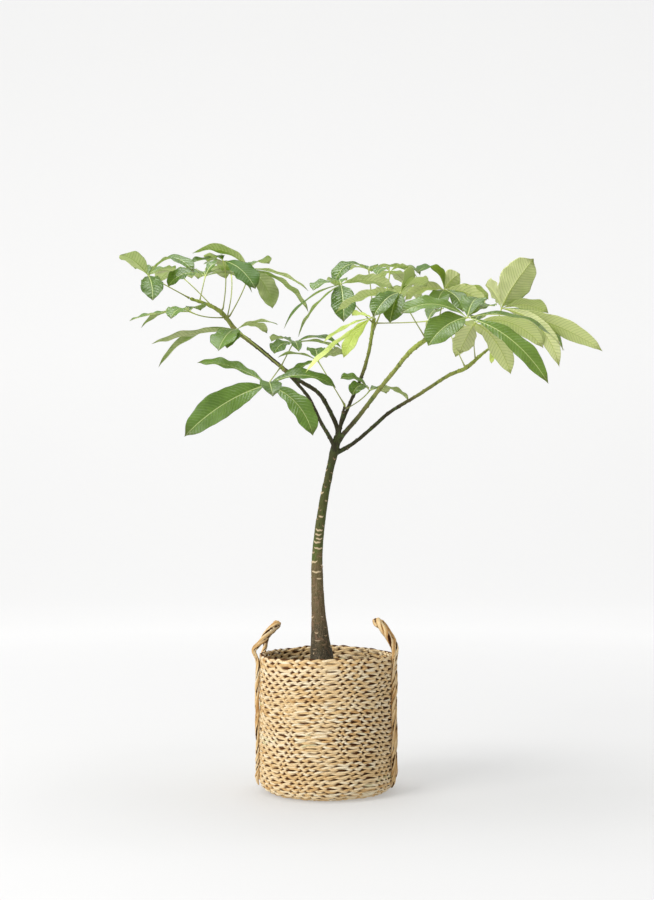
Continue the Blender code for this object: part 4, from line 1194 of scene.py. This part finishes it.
def build_leaves(kinds):
    """Every leaf: a stalk that is thicker at both ends, and its leaflets."""
    for number, (name, (root, hub, leaflets)) in enumerate(LEAVES.items()):
        kind = "young" if name in YOUNG_LEAVES else "grown"
        skin = Skin("tone", "vein", "rib", "blade_u", "tip", "pale")
        path = stalk_path(Vector(root) * CM, Vector(hub) * CM)
        share = lengths(path) / lengths(path)[-1]
        thick = 0.00125 + 0.0016 * np.exp(-share * 16) + 0.0009 * np.exp(-(1 - share) * 18)
        skin.tube(path, thick, STALK_SIDES, (0.2, 0.9), STALK_SLOT, blade_u=share)
        start = np.array(hub) * CM
        # Leaves further right are kept as pale, for painted light on their undersides.
        for i, (x, y, z, width, arch, tilt) in enumerate(leaflets):
            leaflet(skin, start, start + np.array([x, y, z]) * CM, width * CM, arch * CM,
                    math.radians(tilt), number * 10 + i, OVAL_LEAFLETS.get(name) == i,
                    RICH_LEAFLETS.get(name) == i, clamp((hub[0] - PALE_FROM) / PALE_OVER))
        skin.make(name + "_leaf", name, kinds[kind])


# ---------------------------------------------------------------- studio


def backdrop():
    """A pale floor that curves up far behind into a wall.

    It glows a little more with distance, to stay as even as the photo's white ground."""
    cove = [(COVE_START + COVE_RADIUS * math.sin(t), COVE_RADIUS - COVE_RADIUS * math.cos(t))
            for t in np.linspace(0.1, math.pi / 2, 14)]
    depth = [(FLOOR_FRONT, 0), (COVE_START, 0), *cove, (COVE_START + COVE_RADIUS, WALL_TOP)]
    points = [(side * FLOOR_HALF_WIDTH, y, z - FLOOR_DROP) for y, z in depth for side in (-1, 1)]
    mesh = bpy.data.meshes.new("studio_floor")
    mesh.from_pydata(points, [], strip(len(depth), 2, False)[:, ::-1].tolist())
    mesh.shade_smooth()
    n = Nodes("studio_floor_finish", 0.75, Specular_IOR_Level=0.2, Emission_Color=(1, 1, 0.995, 1))
    away = n.node("VectorMath", {0: n.place((1, 1, 0))}, operation="LENGTH").outputs["Value"]
    cloudy = n.speckle(n.place(), 3, 2)
    n.set(Base_Color=n.tint((0.395, 0.395, 0.397), (0.398, 0.398, 0.399), cloudy, 0.3, 0.7),
          Emission_Strength=n.span(away, 0.6, 3.8, 0.34, 0.60))
    mesh.materials.append(n.material)
    linked("studio_floor", mesh)


def lamp(name, place, target, size, power, colour=(1, 1, 1)):
    """A square light that faces a point."""
    light = bpy.data.lights.new(name, "AREA")
    light.shape = "SQUARE"
    light.size = size
    light.energy = power
    light.color = colour
    obj = linked(name, light)
    obj.location = place
    obj.rotation_euler = (Vector(target) - Vector(place)).to_track_quat("-Z", "Y").to_euler()


def studio():
    """The backdrop, the lights, the world and the camera at the photo's viewpoint."""
    backdrop()
    lamp("key", (-3.9, -3.45, 3.15), (0, 0, 0.6), 3.0, 258, (1.0, 0.99, 0.97))
    lamp("top", (-0.3, 0.1, 3.8), (0, 0.1, 0.7), 1.8, 92)
    world = bpy.data.worlds.new("studio")
    world.use_nodes = True
    sky = world.node_tree.nodes["Background"].inputs
    sky["Color"].default_value = (1, 1, 1, 1)
    sky["Strength"].default_value = SKY_STRENGTH
    bpy.context.scene.world = world
    bpy.context.scene.view_settings.view_transform = "Standard"
    data = bpy.data.cameras.new("camera")
    data.lens = LENS_MM
    data.sensor_width = SENSOR_MM
    camera = linked("camera", data)
    camera.location = CAMERA_AT
    camera.rotation_euler = (CAMERA_PITCH, 0, 0)
    bpy.context.scene.camera = camera


def build():
    """Every piece of the basket, the pot and the tree, with its materials."""
    straw = straw_material()
    plastic, earth = plastic_material(), soil_material()
    build_wall(straw)
    build_base(straw)
    build_handles(straw)
    build_saucer(plastic)
    build_pot(plastic)
    build_soil(earth)
    build_trunk(bark_material())
    top = blade_material("leaf_top", (0.020, 0.056, 0.012), (0.112, 0.194, 0.046),
                         (0.30, 0.42, 0.14), (0.62, 0.69, 0.30), 0.26, 0.24,
                         (0.46, 0.66, 0.10), 0.30)
    # The undersides take painted light, as if lit from behind, on the leaves kept as pale.
    under = blade_material("leaf_under", (0.25, 0.34, 0.09), (1.0, 1.0, 0.56),
                           (0.22, 0.32, 0.07), (0.42, 0.48, 0.17), 0.55, 0.50,
                           (0.60, 0.74, 0.20), 0.54, painted_backlight=(0.98, 1.0, 0.32))
    stalk = stalk_material("stalk_green", (0.25, 0.27, 0.060), (0.52, 0.60, 0.15))
    young_top = blade_material("young_top", (0.52, 0.70, 0.18), (0.80, 0.88, 0.38),
                               (0.58, 0.70, 0.20), (0.84, 0.88, 0.44), 0.4, 0.42,
                               (0.90, 0.98, 0.30), 0.45)
    young_under = blade_material("young_under", (0.62, 0.72, 0.26), (0.82, 0.88, 0.44),
                                 (0.50, 0.60, 0.20), (0.80, 0.84, 0.40), 0.5, 0.5,
                                 (0.92, 0.98, 0.34), 0.52)
    young_stalk = stalk_material("young_stalk", (0.40, 0.46, 0.11), (0.60, 0.70, 0.20))
    build_leaves({"grown": [top, under, stalk], "young": [young_top, young_under, young_stalk]})


build()
studio()
bpy.context.view_layer.update()
